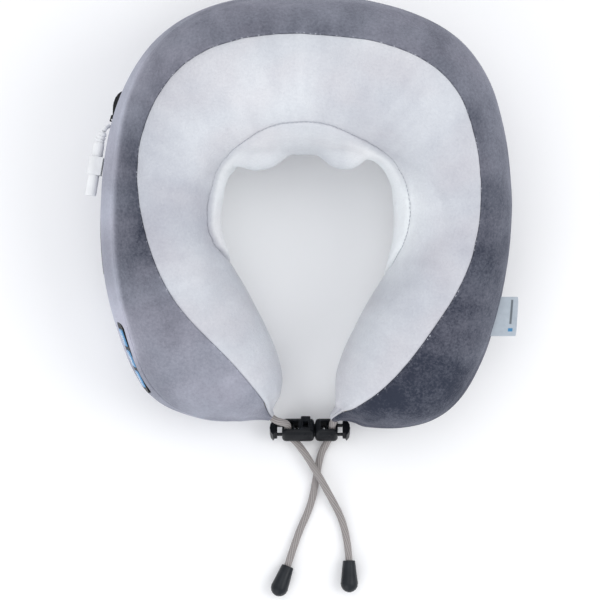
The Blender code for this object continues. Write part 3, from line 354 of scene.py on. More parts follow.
def metal(name, colour, roughness=0.3, along=(1, 1, 14)):
    look = Look(name, colour, roughness, 1.0)
    lines = look.noise(220, 3, 0.6, along)
    look.base(look.ramp(lines, (0.3, tuple(c * 0.82 for c in colour)), (0.7, colour)))
    look.roughen(look.grey_ramp(look.noise(500, 3), roughness - 0.08, roughness + 0.12))
    look.bump(lines, 0.04 * MM, 0.5)
    return look.material


def foam_look():
    look = Look("foam", (0.82, 0.76, 0.58), 0.95)
    cells = look.node("ShaderNodeTexVoronoi")
    cells.inputs["Scale"].default_value = 900
    look.link(look.coords(), cells.inputs["Vector"])
    look.base(look.ramp(cells.outputs["Distance"], (0.05, (0.86, 0.80, 0.62)), (0.7, (0.60, 0.54, 0.38))))
    look.bump(cells.outputs["Distance"], 0.5 * MM, 0.8)
    return look.material


def board_look():
    look = Look("circuit_board", (0.03, 0.20, 0.09), 0.35)
    tracks = look.node("ShaderNodeTexBrick")
    tracks.inputs["Scale"].default_value = 260
    tracks.inputs["Color1"].default_value = (0.02, 0.20, 0.08, 1)
    tracks.inputs["Color2"].default_value = (0.03, 0.26, 0.11, 1)
    tracks.inputs["Mortar"].default_value = (0.30, 0.24, 0.08, 1)
    tracks.inputs["Mortar Size"].default_value = 0.012
    look.link(look.coords(), tracks.inputs["Vector"])
    look.base(tracks.outputs["Color"])
    look.bump(look.noise(400), 0.1 * MM, 0.4)
    return look.material


def grid_faces(rings, sides, closed=True):
    """The faces between rings of points, or between open rows of them."""
    faces = []
    for i in range(rings - 1):
        for j in range(sides if closed else sides - 1):
            a, b = i * sides + j, i * sides + (j + 1) % sides
            faces.append((a, b, b + sides, a + sides))
    return faces


def mesh_piece(name, verts, faces, look, smooth=True):
    mesh = bpy.data.meshes.new(name)
    mesh.from_pydata([tuple(v) for v in verts], [], faces)
    mesh.update()
    if smooth:
        mesh.shade_smooth()
    mesh.materials.append(look)
    return show(name, mesh)


def face_outward(mesh):
    bm = bmesh.new()
    bm.from_mesh(mesh)
    bmesh.ops.recalc_face_normals(bm, faces=bm.faces)
    bm.to_mesh(mesh)
    bm.free()


def write_values(mesh, name, values):
    """A value for each vertex, as an attribute that a material can read."""
    mesh.attributes.new(name, "FLOAT", "POINT").data.foreach_set("value", np.array(values, np.float32))


def path_length(points):
    """How far along a line of points each one is."""
    return np.concatenate([[0], np.cumsum(np.linalg.norm(np.diff(points, axis=0), axis=1))])


# ======================================================================== pillow surface
class NaturalSpline:
    """A smooth curve through values at 0, 1, 2 ..., read at an array of station numbers."""

    def __init__(self, values):
        self.values = np.array(values, float)
        count = len(self.values)
        system = np.eye(count)
        right = np.zeros_like(self.values)
        for i in range(1, count - 1):
            system[i, i - 1 : i + 2] = 1, 4, 1
            right[i] = 6 * (self.values[i - 1] - 2 * self.values[i] + self.values[i + 1])
        self.bend = np.linalg.solve(system, right)

    def __call__(self, s):
        s = np.asarray(s, float)
        i = np.clip(s.astype(int), 0, len(self.values) - 2)
        f = s - i
        if self.values.ndim > 1:
            f = f[..., None]
        g = 1 - f
        return (g * self.values[i] + f * self.values[i + 1]
                + ((g**3 - g) * self.bend[i] + (f**3 - f) * self.bend[i + 1]) / 6)


def both_arms(heights):
    return NaturalSpline([v * MM for v in heights + heights[-2::-1]])


OUTLINE = NaturalSpline([[v * MM for v in row] for row in STATIONS])
TOP, WAIST, BASE = both_arms(TOP_HEIGHTS), both_arms(WAIST_HEIGHTS), both_arms(BASE_HEIGHTS)
TOP_SEAM_AT = NaturalSpline(TOP_SEAM)
ALONG = np.linspace(0.2, LAST - 0.2, 160)
MIDDLE_LINE = np.column_stack([(OUTLINE(ALONG)[:, :2] + OUTLINE(ALONG)[:, 2:]) / 2, WAIST(ALONG)])
EDGE_SEAM_AT = NaturalSpline(EDGE_SEAM)


def smoothstep(low, high, value):
    x = np.clip((value - low) / (high - low), 0.0, 1.0)
    return x * x * (3 - 2 * x)


def top_seam(s):
    across = TOP_SEAM_AT(s)
    return np.degrees(np.arccos(np.copysign(np.abs(across) ** (SECTION_POWER / 2), across)))


def collar_seam(s):
    """The collar's seam, with the corners between its points rounded off."""
    reach = np.clip(np.minimum(s - COLLAR_FIRST, COLLAR_LAST - s), 0.0, 0.7)
    knots = [COLLAR_FIRST, *range(5, 18), COLLAR_LAST]
    weights = ((-1, 0.1), (-0.5, 0.24), (0, 0.32), (0.5, 0.24), (1, 0.1))
    return sum(w * np.interp(s + reach * k, knots, COLLAR_SEAM) for k, w in weights)


def skin(s, angle, inset=0.0):
    """Points of the pillow. angle is in degrees, from the outer side over the top to the neck side."""
    at = OUTLINE(s)
    outer, inner = at[..., :2], at[..., 2:]
    gap = outer - inner
    length = np.linalg.norm(gap, axis=-1)
    across = gap / np.maximum(length, 1e-9)[..., None]
    middle = (outer + inner) / 2
    c, z = np.cos(np.radians(angle)), np.sin(np.radians(angle))
    u = np.sign(c) * np.abs(c) ** (2 / SECTION_POWER) * np.maximum(length / 2 - inset, 0)
    w = np.sign(z) * np.abs(z) ** (2 / SECTION_POWER)
    waist = WAIST(s)
    reach = np.where(w > 0, TOP(s) - inset - waist, waist - BASE(s) - inset)
    height = np.maximum(waist + reach * w, inset)
    flat = middle + across * u[..., None]
    depth = np.zeros_like(height)
    for side in (-1, 1):
        away = np.hypot(flat[..., 0] - DRIVE_X - side * ROTOR_HALF_SPACING, height - ROTOR_Z)
        depth = np.maximum(depth, 1 - smoothstep(BUMP_FLAT_R, BUMP_EDGE_R, away))
    neck = (smoothstep(0.0, 0.6, -c) * smoothstep(-0.98, -0.75, z)
            * smoothstep(6.0, 7.5, np.minimum(s, LAST - s)))
    return np.stack([flat[..., 0], flat[..., 1] - BUMP_DEPTH * depth * neck, height], axis=-1)


def station_columns():
    """Station numbers, evenly spaced along the outer edge, with both arms' tips nearly closed."""
    fine = np.linspace(0.03, LAST - 0.03, 4000)
    at = OUTLINE(fine)
    middle = 0.7 * at[:, :2] + 0.3 * at[:, 2:]
    along = path_length(middle)
    return np.interp(np.linspace(0, along[-1], COLUMNS), along, fine)


def value_noise(u, v, seed):
    """Smooth noise from -1 to 1 on a plane, with a feature size of about 1."""
    lattice = np.random.RandomState(seed).uniform(-1, 1, (97, 89))
    iu, iv = np.floor(u).astype(int), np.floor(v).astype(int)
    fu, fv = u - iu, v - iv
    fu, fv = fu * fu * (3 - 2 * fu), fv * fv * (3 - 2 * fv)

    def at(a, b):
        return lattice[a % 97, b % 89]

    return ((at(iu, iv) * (1 - fu) + at(iu + 1, iv) * fu) * (1 - fv)
            + (at(iu, iv + 1) * (1 - fu) + at(iu + 1, iv + 1) * fu) * fv)


def ridged(value, sharpness):
    """Noise as soft folds: narrow crests between broad hollows."""
    return 1 - np.abs(value) ** sharpness * 2


class Pillow:
    """The cover as one grid of columns (stations) by rows (round the section)."""

    def __init__(self):
        self.s = station_columns()
        s = self.s
        breaks = [np.full_like(s, BASE_OUTER), EDGE_SEAM_AT(s), top_seam(s), collar_seam(s),
                  np.full_like(s, BASE_INNER), np.full_like(s, 360 + BASE_OUTER)]
        rows = []
        for k in range(5):
            count = SEAM_ROWS[k + 1] - SEAM_ROWS[k]
            for j in range(count):
                rows.append(breaks[k] + (breaks[k + 1] - breaks[k]) * j / count)
        self.angle = np.stack(rows, axis=1)
        self.station = np.repeat(s[:, None], self.angle.shape[1], axis=1)
        self.base = skin(self.station, self.angle)
        self.measure()

    def measure(self):
        points = self.base
        closed = np.concatenate([points, points[:, :1]], axis=1)
        steps = np.linalg.norm(np.diff(closed, axis=1), axis=2)
        self.girth = np.concatenate([np.zeros((len(points), 1)), np.cumsum(steps, axis=1)[:, :-1]], axis=1)
        self.around = np.sum(steps, axis=1)
        along = path_length(OUTLINE(self.s)[:, :2])
        self.along = np.repeat(along[:, None], points.shape[1], axis=1)
        self.normal = grid_normals(points, points.mean(axis=1))

    def from_seam(self, k):
        """How far each point is from seam k, along the section."""
        here = self.girth - self.girth[:, SEAM_ROWS[k] % self.girth.shape[1]][:, None]
        turn = self.around[:, None]
        return np.minimum(np.abs(here), turn - np.abs(here))

    def seam_slant(self, k):
        """What to multiply a distance along the section by, where seam k runs aslant."""
        row = self.base[:, SEAM_ROWS[k] % self.base.shape[1]]
        run = np.gradient(row, axis=0)
        up = np.gradient(self.base, axis=1)[:, SEAM_ROWS[k] % self.base.shape[1]]
        run = run / np.maximum(np.linalg.norm(run, axis=1), 1e-9)[:, None]
        up = up / np.maximum(np.linalg.norm(up, axis=1), 1e-9)[:, None]
        cosine = np.abs(np.sum(run * up, axis=1))
        return np.sqrt(np.maximum(1 - cosine**2, 0.05))[:, None]


def grid_normals(points, middle):
    closed = np.concatenate([points[:, -1:], points, points[:, :1]], axis=1)
    du = np.gradient(points, axis=0)
    dv = (closed[:, 2:] - closed[:, :-2]) / 2
    normal = np.cross(dv, du)
    normal /= np.maximum(np.linalg.norm(normal, axis=2), 1e-12)[..., None]
    outward = np.sum(normal * (points - middle[:, None]), axis=2)
    return normal * np.sign(np.median(outward))


def swell(pillow):
    """How far the stuffed cloth stands off the foam between its seams, by a cloth simulation."""
    columns = np.linspace(0, COLUMNS - 1, SIM_COLUMNS).round().astype(int)
    rows_all = pillow.angle.shape[1]
    rows = np.unique(np.concatenate([np.arange(0, rows_all, 2), SEAM_ROWS[:-1]]))
    points = pillow.base[np.ix_(columns, rows)]
    nc, nr = points.shape[:2]
    bm = bmesh.new()
    grid = [[bm.verts.new(p) for p in column] for column in points]
    for a, b in zip(grid, grid[1:]):
        for j in range(nr):
            k = (j + 1) % nr
            bm.faces.new((a[j], a[k], b[k], b[j]))
    bm.faces.new(grid[0][::-1])
    bm.faces.new(grid[-1])
    bmesh.ops.recalc_face_normals(bm, faces=bm.faces)
    mesh = bpy.data.meshes.new("swell")
    bm.to_mesh(mesh)
    bm.free()
    obj = show("swell", mesh)
    held = obj.vertex_groups.new(name="held")
    station = pillow.s[columns]
    for i in range(nc):
        tip = min(station[i], LAST - station[i]) < 0.5
        for j in range(nr):
            on_seam = rows[j] in SEAM_ROWS[:-1]
            if rows[j] == SEAM_ROWS[3]:
                on_seam = COLLAR_FIRST < station[i] < COLLAR_LAST
            if on_seam or tip or rows[j] >= SEAM_ROWS[4]:
                held.add([i * nr + j], 1.0, "REPLACE")
    cloth = obj.modifiers.new("cloth", "CLOTH")
    for key, value in SIM_SETTINGS.items():
        setattr(cloth.settings, key, value)
    cloth.settings.effector_weights.gravity = 0
    cloth.collision_settings.use_collision = False
    scene = bpy.context.scene
    for step in range(1, SIM_STEPS + 1):
        scene.frame_set(step)
    dg = bpy.context.evaluated_depsgraph_get()
    moved = np.array([v.co[:] for v in obj.evaluated_get(dg).data.vertices]).reshape(nc, nr, 3)
    shift = moved - points
    far = np.linalg.norm(shift, axis=2, keepdims=True)
    shift *= np.minimum(1, SIM_REACH / np.maximum(far, 1e-9))
    bpy.data.objects.remove(obj)
    scene.frame_set(1)
    full = np.empty((nc, rows_all, 3))
    wrapped_rows = np.concatenate([rows, [rows_all]])
    wrapped = np.concatenate([shift, shift[:, :1]], axis=1)
    out = np.empty_like(pillow.base)
    for k in range(3):
        for i in range(nc):
            full[i, :, k] = np.interp(np.arange(rows_all), wrapped_rows, wrapped[i, :, k])
        for j in range(rows_all):
            out[:, j, k] = np.interp(np.arange(COLUMNS), columns, full[:, j, k])
    for _ in range(3):
        wide = np.concatenate([out[:1], out[:1], out, out[-1:], out[-1:]])
        out = (wide[:-4] + wide[1:-3] + wide[2:-2] + wide[3:-1] + wide[4:]) / 5
    return out


FITTINGS = ("zip_chain", "zip_slider", "zip_pull", "keeper_loop",
            "dc_jack", "jack_cable", "jack_strain_relief")
KEYS = ("power_key", "direction_key", "speed_key")


def from_nodes(points, names):
    """How far each point is from the nearest surface of these CAD nodes."""
    verts, faces = [], []
    for name in names:
        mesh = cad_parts[name].data
        faces += [[len(verts) + k for k in face.vertices] for face in mesh.polygons]
        verts += [v.co.copy() for v in mesh.vertices]
    tree = BVHTree.FromPolygons(verts, faces)
    return np.array([tree.find_nearest(p)[3] for p in points.reshape(-1, 3)]).reshape(points.shape[:2])


def corners_of(name):
    return np.array([v.co[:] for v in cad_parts[name].data.vertices])


def key_frame(name):
    """A key's middle and axes, from its own corners: along the strip to the tip, up the wall, out."""
    corners = corners_of(name)
    middle = (corners.min(axis=0) + corners.max(axis=0)) / 2
    for _ in range(3):
        axes = np.linalg.svd(corners - middle, full_matrices=False)[2]
        inside = (corners - middle) @ axes.T
        middle = middle + ((inside.min(axis=0) + inside.max(axis=0)) / 2) @ axes
    along, up, out = axes
    along = along * -np.sign(along[1])
    up = up * np.sign(up[2])
    return middle, np.array([along, up, np.cross(along, up)])


def strip_frame():
    """The key strip's frame as the CAD has it, from the middle key, with the height of its bezel's face."""
    middle, axes = key_frame("direction_key")
    bezel = (corners_of("control_bezel") - middle) @ axes.T
    centre = np.abs(bezel[:, 0]) < 12 * MM
    return middle, axes, bezel[centre, 2].max()


STRIP = strip_frame()


def strip_local(points):
    middle, axes, face = STRIP
    local = (points - middle) @ axes.T
    across = np.maximum(np.abs(local[..., 1]) - STRIP_HALF[1] + STRIP_CORNER, 0)
    along = np.maximum(np.abs(local[..., 0]) - STRIP_HALF[0] + STRIP_CORNER, 0)
    away = np.hypot(along, across) - STRIP_CORNER
    face = face - local[..., 0] ** 2 / (2 * STRIP_BEND_R)
    return local, away, face


def meet_bezel(points):
    """The side cloth's lip round the key strip stands just proud of the bezel."""
    axes = STRIP[1]
    local, away, face = strip_local(points)
    near = (1 - smoothstep(3 * MM, 10 * MM, away)) * (np.abs(local[..., 2] - face) < 9 * MM)
    rise = np.minimum(face + STRIP_LIP - local[..., 2], 0.9 * MM) * near
    return points + rise[..., None] * axes[2]


def open_for_bezel(bm):
    """Cuts the key strip's outline out of the cloth."""
    middle, axes, _ = STRIP
    hl, hw = STRIP_HALF[0] + 0.1 * MM, STRIP_HALF[1] + 0.1 * MM
    chamfer = (hl - 1.2 * MM, hw - 1.2 * MM)

    def near():
        faces = [f for f in bm.faces if (f.calc_center_median() - Vector(middle)).length < 36 * MM]
        local, away, level = strip_local(np.array([f.calc_center_median()[:] for f in faces]).reshape(-1, 3))
        picked = (away < 5 * MM) & (np.abs(local[:, 2] - level) < 9 * MM)
        return [(f, spot) for f, spot, on in zip(faces, local, picked) if on]

    planes = [((hl, 0), (1, 0)), ((-hl, 0), (-1, 0)), ((0, hw), (0, 1)), ((0, -hw), (0, -1))]
    planes += [((a * chamfer[0], b * chamfer[1]), (a, b)) for a in (1, -1) for b in (1, -1)]
    for place, normal in planes:
        faces = [f for f, _ in near()]
        geometry = list({*faces, *(e for f in faces for e in f.edges), *(v for f in faces for v in f.verts)})
        spot = middle + axes[0] * place[0] + axes[1] * place[1]
        direction = axes[0] * normal[0] + axes[1] * normal[1]
        bmesh.ops.bisect_plane(bm, geom=geometry, dist=0.02 * MM, plane_co=spot, plane_no=direction)
    inside = [f for f, (x, y, _) in near()
              if abs(x) < hl and abs(y) < hw and abs(x) - chamfer[0] + abs(y) - chamfer[1] < 0]
    bmesh.ops.delete(bm, geom=inside, context="FACES")


def close_tip(points, pillow, columns, route):
    """The end of an arm, gathered in round its drawcord."""
    start, after = (np.array(p) * MM for p in route[:2])
    ahead = (after - start) / np.linalg.norm(after - start)
    ends = OUTLINE(pillow.s[columns[-1]])
    across = np.append(ends[:2] - ends[2:], 0.0)
    across -= ahead * np.dot(across, ahead)
    across /= np.linalg.norm(across)
    up = np.cross(across, ahead)
    up *= np.sign(up[2])
    for column, (reach, radius) in zip(columns, TIP_RINGS):
        angle = np.radians(pillow.angle[column])
        crimp = 0.3 * MM if radius > 3 * MM else 0.0
        ring = np.cos(angle)[:, None] * across + np.sin(angle)[:, None] * up
        radii = radius + crimp * np.cos(11 * angle + column)
        points[column] = start + ahead * reach + ring * radii[:, None]


def make_pillow():
    pillow = Pillow()
    s = pillow.station
    from_tip = np.minimum(s, LAST - s)
    base_side = np.zeros_like(s)
    base_side[:, SEAM_ROWS[4]:] = 1
    shift = swell(pillow)
    shift *= 1 - base_side[..., None]
    bulge = np.clip(np.sum(shift * pillow.normal, axis=2), *SWELL_LIMITS)
    wall = 1 - smoothstep(0, 14, pillow.angle - EDGE_SEAM_AT(s))
    bulge *= 1 - 0.75 * wall

    # Seams pull the cloth in, and pucker it on both sides
    along, girth = pillow.along, pillow.girth
    groove = np.zeros_like(s)
    pucker = np.zeros_like(s)
    collar_on = smoothstep(COLLAR_FIRST, COLLAR_FIRST + 0.3, s)
    collar_on *= 1 - smoothstep(COLLAR_LAST - 0.3, COLLAR_LAST, s)
    for k, depth, width, crimp in SEAMS:
        away = pillow.from_seam(k) * pillow.seam_slant(k)
        on = collar_on if k == 3 else np.ones_like(s)
        groove += on * depth * MM * np.exp(-(away / (width * MM)) ** 2)
        gather = value_noise(along / (5.2 * MM), away / (26 * MM) + 7 * k, 11 + k)
        gather += 0.6 * value_noise(along / (9.5 * MM) + 3, away / (30 * MM), 31 + k)
        pucker += on * crimp * MM * gather * np.exp(-away / (7.5 * MM))

    # Gathers run out of each tip along the arm
    around = pillow.angle / 360
    tip_near = np.exp(-np.maximum(from_tip - 0.35, 0) / 0.75) * smoothstep(0.0, 0.4, from_tip)
    folds = ridged(value_noise(around * 15 + 0.8 * np.sin(from_tip * 1.7), from_tip * 0.8, 51), 0.8)
    folds += 0.5 * value_noise(around * 31, from_tip * 1.6 + 5, 52)
    gathers = 1.7 * MM * (folds - 0.3) * tip_near

    # Broad slack in the cloth, and a few soft creases across the arms
    slack = 0.75 * MM * value_noise(along / (46 * MM), girth / (38 * MM), 61)
    slack += 0.38 * MM * value_noise(along / (21 * MM) + 9, girth / (27 * MM), 62)
    bent = along / (34 * MM) + 0.35 * np.sin(girth / (17 * MM))
    crease = np.maximum(0, value_noise(bent, girth / (75 * MM) + 4, 63) - 0.35) ** 1.2
    slack -= 1.1 * MM * crease
    drive = np.exp(-((pillow.base[..., 0] - DRIVE_X) / (62 * MM)) ** 2) * smoothstep(100, 140, pillow.angle)
    slack *= (1 - 0.5 * drive) * (1 - 0.45 * wall)

    lift = bulge + slack + pucker + gathers
    lift *= 1 - base_side
    lift -= groove
    lift = np.where(pillow.base[..., 2] < 0.5 * MM, np.maximum(lift, -0.4 * MM) * 0.2, lift)
    # The cloth lies close to the foam at the things that are sewn or set into it
    fitted = from_nodes(pillow.base, FITTINGS)
    lift *= smoothstep(2 * MM, 15 * MM, fitted)
    panel = from_nodes(pillow.base, ("control_bezel", *KEYS))
    lift = lift * smoothstep(3 * MM, 12 * MM, panel)
    points = pillow.base + pillow.normal * lift[..., None]
    points = meet_bezel(points)
    points[..., 2] = np.maximum(points[..., 2], 0.15 * MM)
    close_tip(points, pillow, (0, 1, 2), LEFT_CORD)
    close_tip(points, pillow, (-1, -2, -3), RIGHT_CORD)
    # painted shade: how high folds, puckers and gathers stand, so that the cloth's colour darkens in their
    # hollows
    fold_shade = np.clip(0.5 + (slack + gathers + pucker) / (3.0 * MM), 0, 1)
    return pillow, points, fold_shade


def outward(place, normal):
    """More than 0 where a normal points away from the middle of the pillow's section there."""
    gap = np.hypot(MIDDLE_LINE[:, 0] - place.x, MIDDLE_LINE[:, 1] - place.y)
    x, y, z = MIDDLE_LINE[int(np.argmin(gap))]
    return Vector((place.x - x, place.y - y, place.z - z)).normalized().dot(normal)


def panel_mesh(name, points, columns, faces_of, attributes, look, thickness=CLOTH_THICKNESS):
    """One panel of the cover: the grid's faces that faces_of picks, given some thickness, then subdivided."""
    nc, nr = points.shape[:2]
    used = {}
    faces = []
    coordinates = []
    picked = []
    for i in columns:
        for j in range(nr):
            if not faces_of(i, j):
                continue
            k = (j + 1) % nr
            corners = []
            for at in ((i, j), (i, k), (i + 1, k), (i + 1, j)):
                if at not in used:
                    used[at] = len(coordinates)
                    coordinates.append(points[at])
                    picked.append(at)
                corners.append(used[at])
            faces.append(corners)
    mesh = bpy.data.meshes.new(name)
    mesh.from_pydata([tuple(p) for p in coordinates], [], faces)
    mesh.update()
    index = tuple(np.array(picked).T)
    for key, values in attributes.items():
        write_values(mesh, key, values[index])
    bm = bmesh.new()
    bm.from_mesh(mesh)
    bmesh.ops.remove_doubles(bm, verts=bm.verts, dist=0.02 * MM)
    bm.normal_update()
    if sum(outward(f.calc_center_median(), f.normal) for f in bm.faces) < 0:
        bmesh.ops.reverse_faces(bm, faces=bm.faces)
    if name in ("side_cloth", "border_cloth"):
        open_for_bezel(bm)
    bm.to_mesh(mesh)
    bm.free()
    obj = show(name, mesh)
    mesh.materials.append(look)
    mesh.shade_smooth()
    solid = obj.modifiers.new("thickness", "SOLIDIFY")
    solid.edge_crease_rim = 1.0
    solid.thickness = thickness
    solid.offset = -1
    solid.use_even_offset = False
    finer = obj.modifiers.new("finer", "SUBSURF")
    finer.levels = finer.render_levels = 1
    return obj


def painted_sheen_and_shade(pillow, fold_shade):
    """Painted sheen and shade for the grey and the pale cloth, lighter or darker from arm to arm, on a random
    mottle of tone.
    """
    x, y = pillow.base[..., 0] * 1000, pillow.base[..., 1] * 1000
    s = pillow.station
    mottle_and_fold_shade = 0.14 * value_noise(x / 46, y / 41, 71) + 0.08 * value_noise(x / 19 + 3, y / 23, 72)
    mottle_and_fold_shade += 0.05 * value_noise(pillow.along / (7 * MM), pillow.girth / (31 * MM), 73)
    # painted shade: darker in the hollows of folds and puckers, lighter on their crests
    mottle_and_fold_shade += 0.25 * (fold_shade - 0.5)
    left = smoothstep(3.0, 4.2, s) * (1 - smoothstep(7.6, 9.4, s))
    below = 1 - smoothstep(-4, 2, pillow.angle - EDGE_SEAM_AT(s))
    beside = np.exp(-pillow.from_seam(2) / (13 * MM)) * (pillow.angle < top_seam(s))
    low = EDGE_SEAM_AT(s)
    climb = np.clip((pillow.angle - low) / (top_seam(s) - low), 0, 1)
    # painted highlight along the ridge of the edge between side wall and border
    ridge_highlight = np.exp(-((pillow.angle - low - 0.5) / 3) ** 2)
    # painted sheen and shade on the grey: lighter on the side wall below the edge and along its ridge, darker
    # beside the pale cloth's seam, most on the left arm
    grey = NaturalSpline(GREY_PAINTED_SHEEN)(s) + below * (0.08 + 0.43 * left) - beside * (0.06 - 0.02 * left)
    grey = grey + left * (ridge_highlight * 0.36 + (1 - below) * (0.05 - 0.10 * climb))
    grey = grey + mottle_and_fold_shade * (0.45 + 0.8 * grey)
    inward = np.clip((pillow.angle - top_seam(s)) / (collar_seam(s) - top_seam(s)), 0, 1)
    right = smoothstep(13.5, 15.5, s) * (1 - smoothstep(20.8, 21.8, s))
    # painted light: the right arm's pale cloth lighter towards its inner edge
    pale = NaturalSpline(PALE_PAINTED_SHEEN)(s) + 0.65 * mottle_and_fold_shade + 0.6 * right * inward**2.5
    neck = smoothstep(0, 10, pillow.angle - collar_seam(s)) * smoothstep(COLLAR_FIRST, COLLAR_FIRST + 1, s)
    neck = neck * (1 - smoothstep(COLLAR_LAST - 1, COLLAR_LAST, s))
    # painted light: the collar's walls lighter or darker by x, as the light falls on them
    collar = np.interp(x, *COLLAR_PAINTED_SHEEN) + 0.4 * mottle_and_fold_shade
    pale = pale * (1 - neck) + collar * neck
    return np.clip(grey, 0, 1), np.clip(pale, 0, 1)


def seam_thread(pillow, points, k, look):
    """The stitches at the bottom of a seam's groove."""
    line = points[:, SEAM_ROWS[k] % points.shape[1]]
    if k == 3:
        line = line[(pillow.s > COLLAR_FIRST + 0.05) & (pillow.s < COLLAR_LAST - 0.05)]
    curve = bpy.data.curves.new(f"seam_thread_{k}", "CURVE")
    curve.dimensions = "3D"
    curve.bevel_depth = THREAD_R
    curve.bevel_resolution = 2
    curve.use_fill_caps = True
    run = path_length(line)
    for first in np.arange(STITCH, run[-1] - STITCH, STITCH * 1.45):
        at = np.linspace(first, first + STITCH, 4)
        places = np.stack([np.interp(at, run, line[:, i]) for i in range(3)], axis=1)
        spline = curve.splines.new("POLY")
        spline.points.add(3)
        for point, place, radius in zip(spline.points, places, (0.5, 1, 1, 0.5)):
            point.co = (*place, 1)
            point.radius = radius
    obj = show(f"seam_thread_{k}", curve)
    curve.materials.append(look)
    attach(obj, "pillow")


def make_foam():
    """The foam under the cover, a little smaller than its CAD solid."""
    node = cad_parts["foam_core"]
    mesh = node.data.copy()
    bm = bmesh.new()
    bm.from_mesh(mesh)
    bmesh.ops.remove_doubles(bm, verts=bm.verts, dist=0.01 * MM)
    bm.normal_update()
    for v in bm.verts:
        v.co -= v.normal * 0.8 * MM
    bm.to_mesh(mesh)
    bm.free()
    mesh.materials.clear()
    mesh.materials.append(foam_look())
    obj = show("foam_fill", mesh)
    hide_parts("foam_core")
    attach(obj, "pillow")


def make_cover():
    pillow, points, fold_shade = make_pillow()
    grey_painted_light, pale_painted_light = painted_sheen_and_shade(pillow, fold_shade)
    border = 0.86 * np.exp(-pillow.from_seam(2) / (2.4 * MM))
    plain = np.zeros_like(border)
    grey = velour("grey_velour_cloth", GREY_DARK, GREY_LIGHT, (1.0, 0.972, 0.975), 0.25,
                  (0.66, 0.68, 0.74), 0.95)
    pale = velour("pale_velour_cloth", PALE_DARK, PALE_LIGHT, (1.0, 0.972, 0.968), 0.15,
                  (0.20, 0.20, 0.26), 0.72)
    rows = SEAM_ROWS
    inside = (pillow.s[:-1] >= COLLAR_FIRST) & (pillow.s[1:] <= COLLAR_LAST)
    parts = {
        "side_cloth": ("side_panel", grey, lambda i, j: rows[0] <= j < rows[1], plain),
        "border_cloth": ("border_panel", grey, lambda i, j: rows[1] <= j < rows[2], border),
        "top_cloth": ("top_panel", pale,
                      lambda i, j: rows[2] <= j < rows[3] or rows[3] <= j < rows[4] and not inside[i],
                      plain),
        "collar_cloth": ("collar_panel", pale, lambda i, j: rows[3] <= j < rows[4] and inside[i], plain),
        "base_cloth": ("base_panel", grey, lambda i, j: rows[4] <= j, plain),
    }
    for name, (node, look, faces_of, mingled) in parts.items():
        # each panel carries its painted sheen and shade as a vertex attribute
        tone_and_painted_light = pale_painted_light if look is pale else grey_painted_light
        values = {"tone_and_painted_light": tone_and_painted_light, "border": mingled}
        obj = panel_mesh(name, points, range(len(points) - 1), faces_of, values, look)
        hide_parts(node)
        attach(obj, "pillow")
    dark = plastic("grey_sewing_thread", (0.09, 0.09, 0.12), 0.9, 0.3, 2600)
    light = plastic("pale_sewing_thread", (0.50, 0.52, 0.57), 0.9, 0.3, 2600)
    under = points - pillow.normal * BINDING_DEPTH
    for word, look, seams in (("grey", grey, (0, 1, 2, 4)), ("pale", pale, (3,))):
        beside = {(rows[k] + step) % points.shape[1] for k in seams for step in (-1, 0)}
        obj = panel_mesh(word + "_seam_binding", under, range(4, len(points) - 5),
                         lambda i, j: j in beside and (word == "grey" or inside[i]),
                         {"tone_and_painted_light": pale_painted_light if word == "pale" else grey_painted_light, "border": plain}, look,
                         BINDING_THICKNESS)
        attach(obj, "pillow")
    for k in (0, 3, 4):
        seam_thread(pillow, points, k, light if k == 3 else dark)
    make_foam()


# ======================================================================== cords
def smooth_route(points, step):
    """Points about step apart on a smooth curve through a route's own points, in metres."""
    route = NaturalSpline([[v * MM for v in p] for p in points])
    fine = route(np.linspace(0, len(points) - 1, 60 * len(points)))
    along = path_length(fine)
    at = np.linspace(0, along[-1], max(4, round(along[-1] / step)))
    return np.stack([np.interp(at, along, fine[:, k]) for k in range(3)], axis=1), along[-1]


def ribbed_cord(name, points, look):
    """A knitted drawcord round a line of points: ribs with a slow twist, and a row of stitches on each."""
    ribs, twist, sides, depth, stitch, knit_depth = 10, 95 * MM, 60, 0.30 * MM, 1.5 * MM, 0.06 * MM
    tangents = np.gradient(points, axis=0)
    tangents /= np.linalg.norm(tangents, axis=1)[:, None]
    side = np.cross(tangents[0], [0, 0, 1.0])
    a = np.linspace(0, TURN, sides, endpoint=False)
    verts, shade = [], []
    for p, along, t in zip(points, path_length(points), tangents):
        side = side - t * np.dot(side, t)
        side /= np.linalg.norm(side)
        across = np.cross(t, side)
        turned = a + TURN * along / twist
        high = np.abs(np.cos(ribs / 2 * turned)) ** 0.7
        knit = 0.5 + 0.5 * np.cos(TURN * along / stitch + 3.0 * np.cos(ribs * turned))
        r = CORD_R - depth * (1 - high) - knit_depth * knit * high
        verts += [p + side * (x * math.cos(t)) + across * (x * math.sin(t)) for x, t in zip(r, a)]
        # painted shade: dark in the grooves between ribs, light on their crests
        shade += list(0.8 * high + 0.2 * knit)
    n = len(points)
    faces = grid_faces(n, sides)
    faces += [tuple(range(sides))[::-1], tuple((n - 1) * sides + j for j in range(sides))]
    obj = mesh_piece(name, verts, faces, look)
    write_values(obj.data, "groove_shade", shade)
    return obj


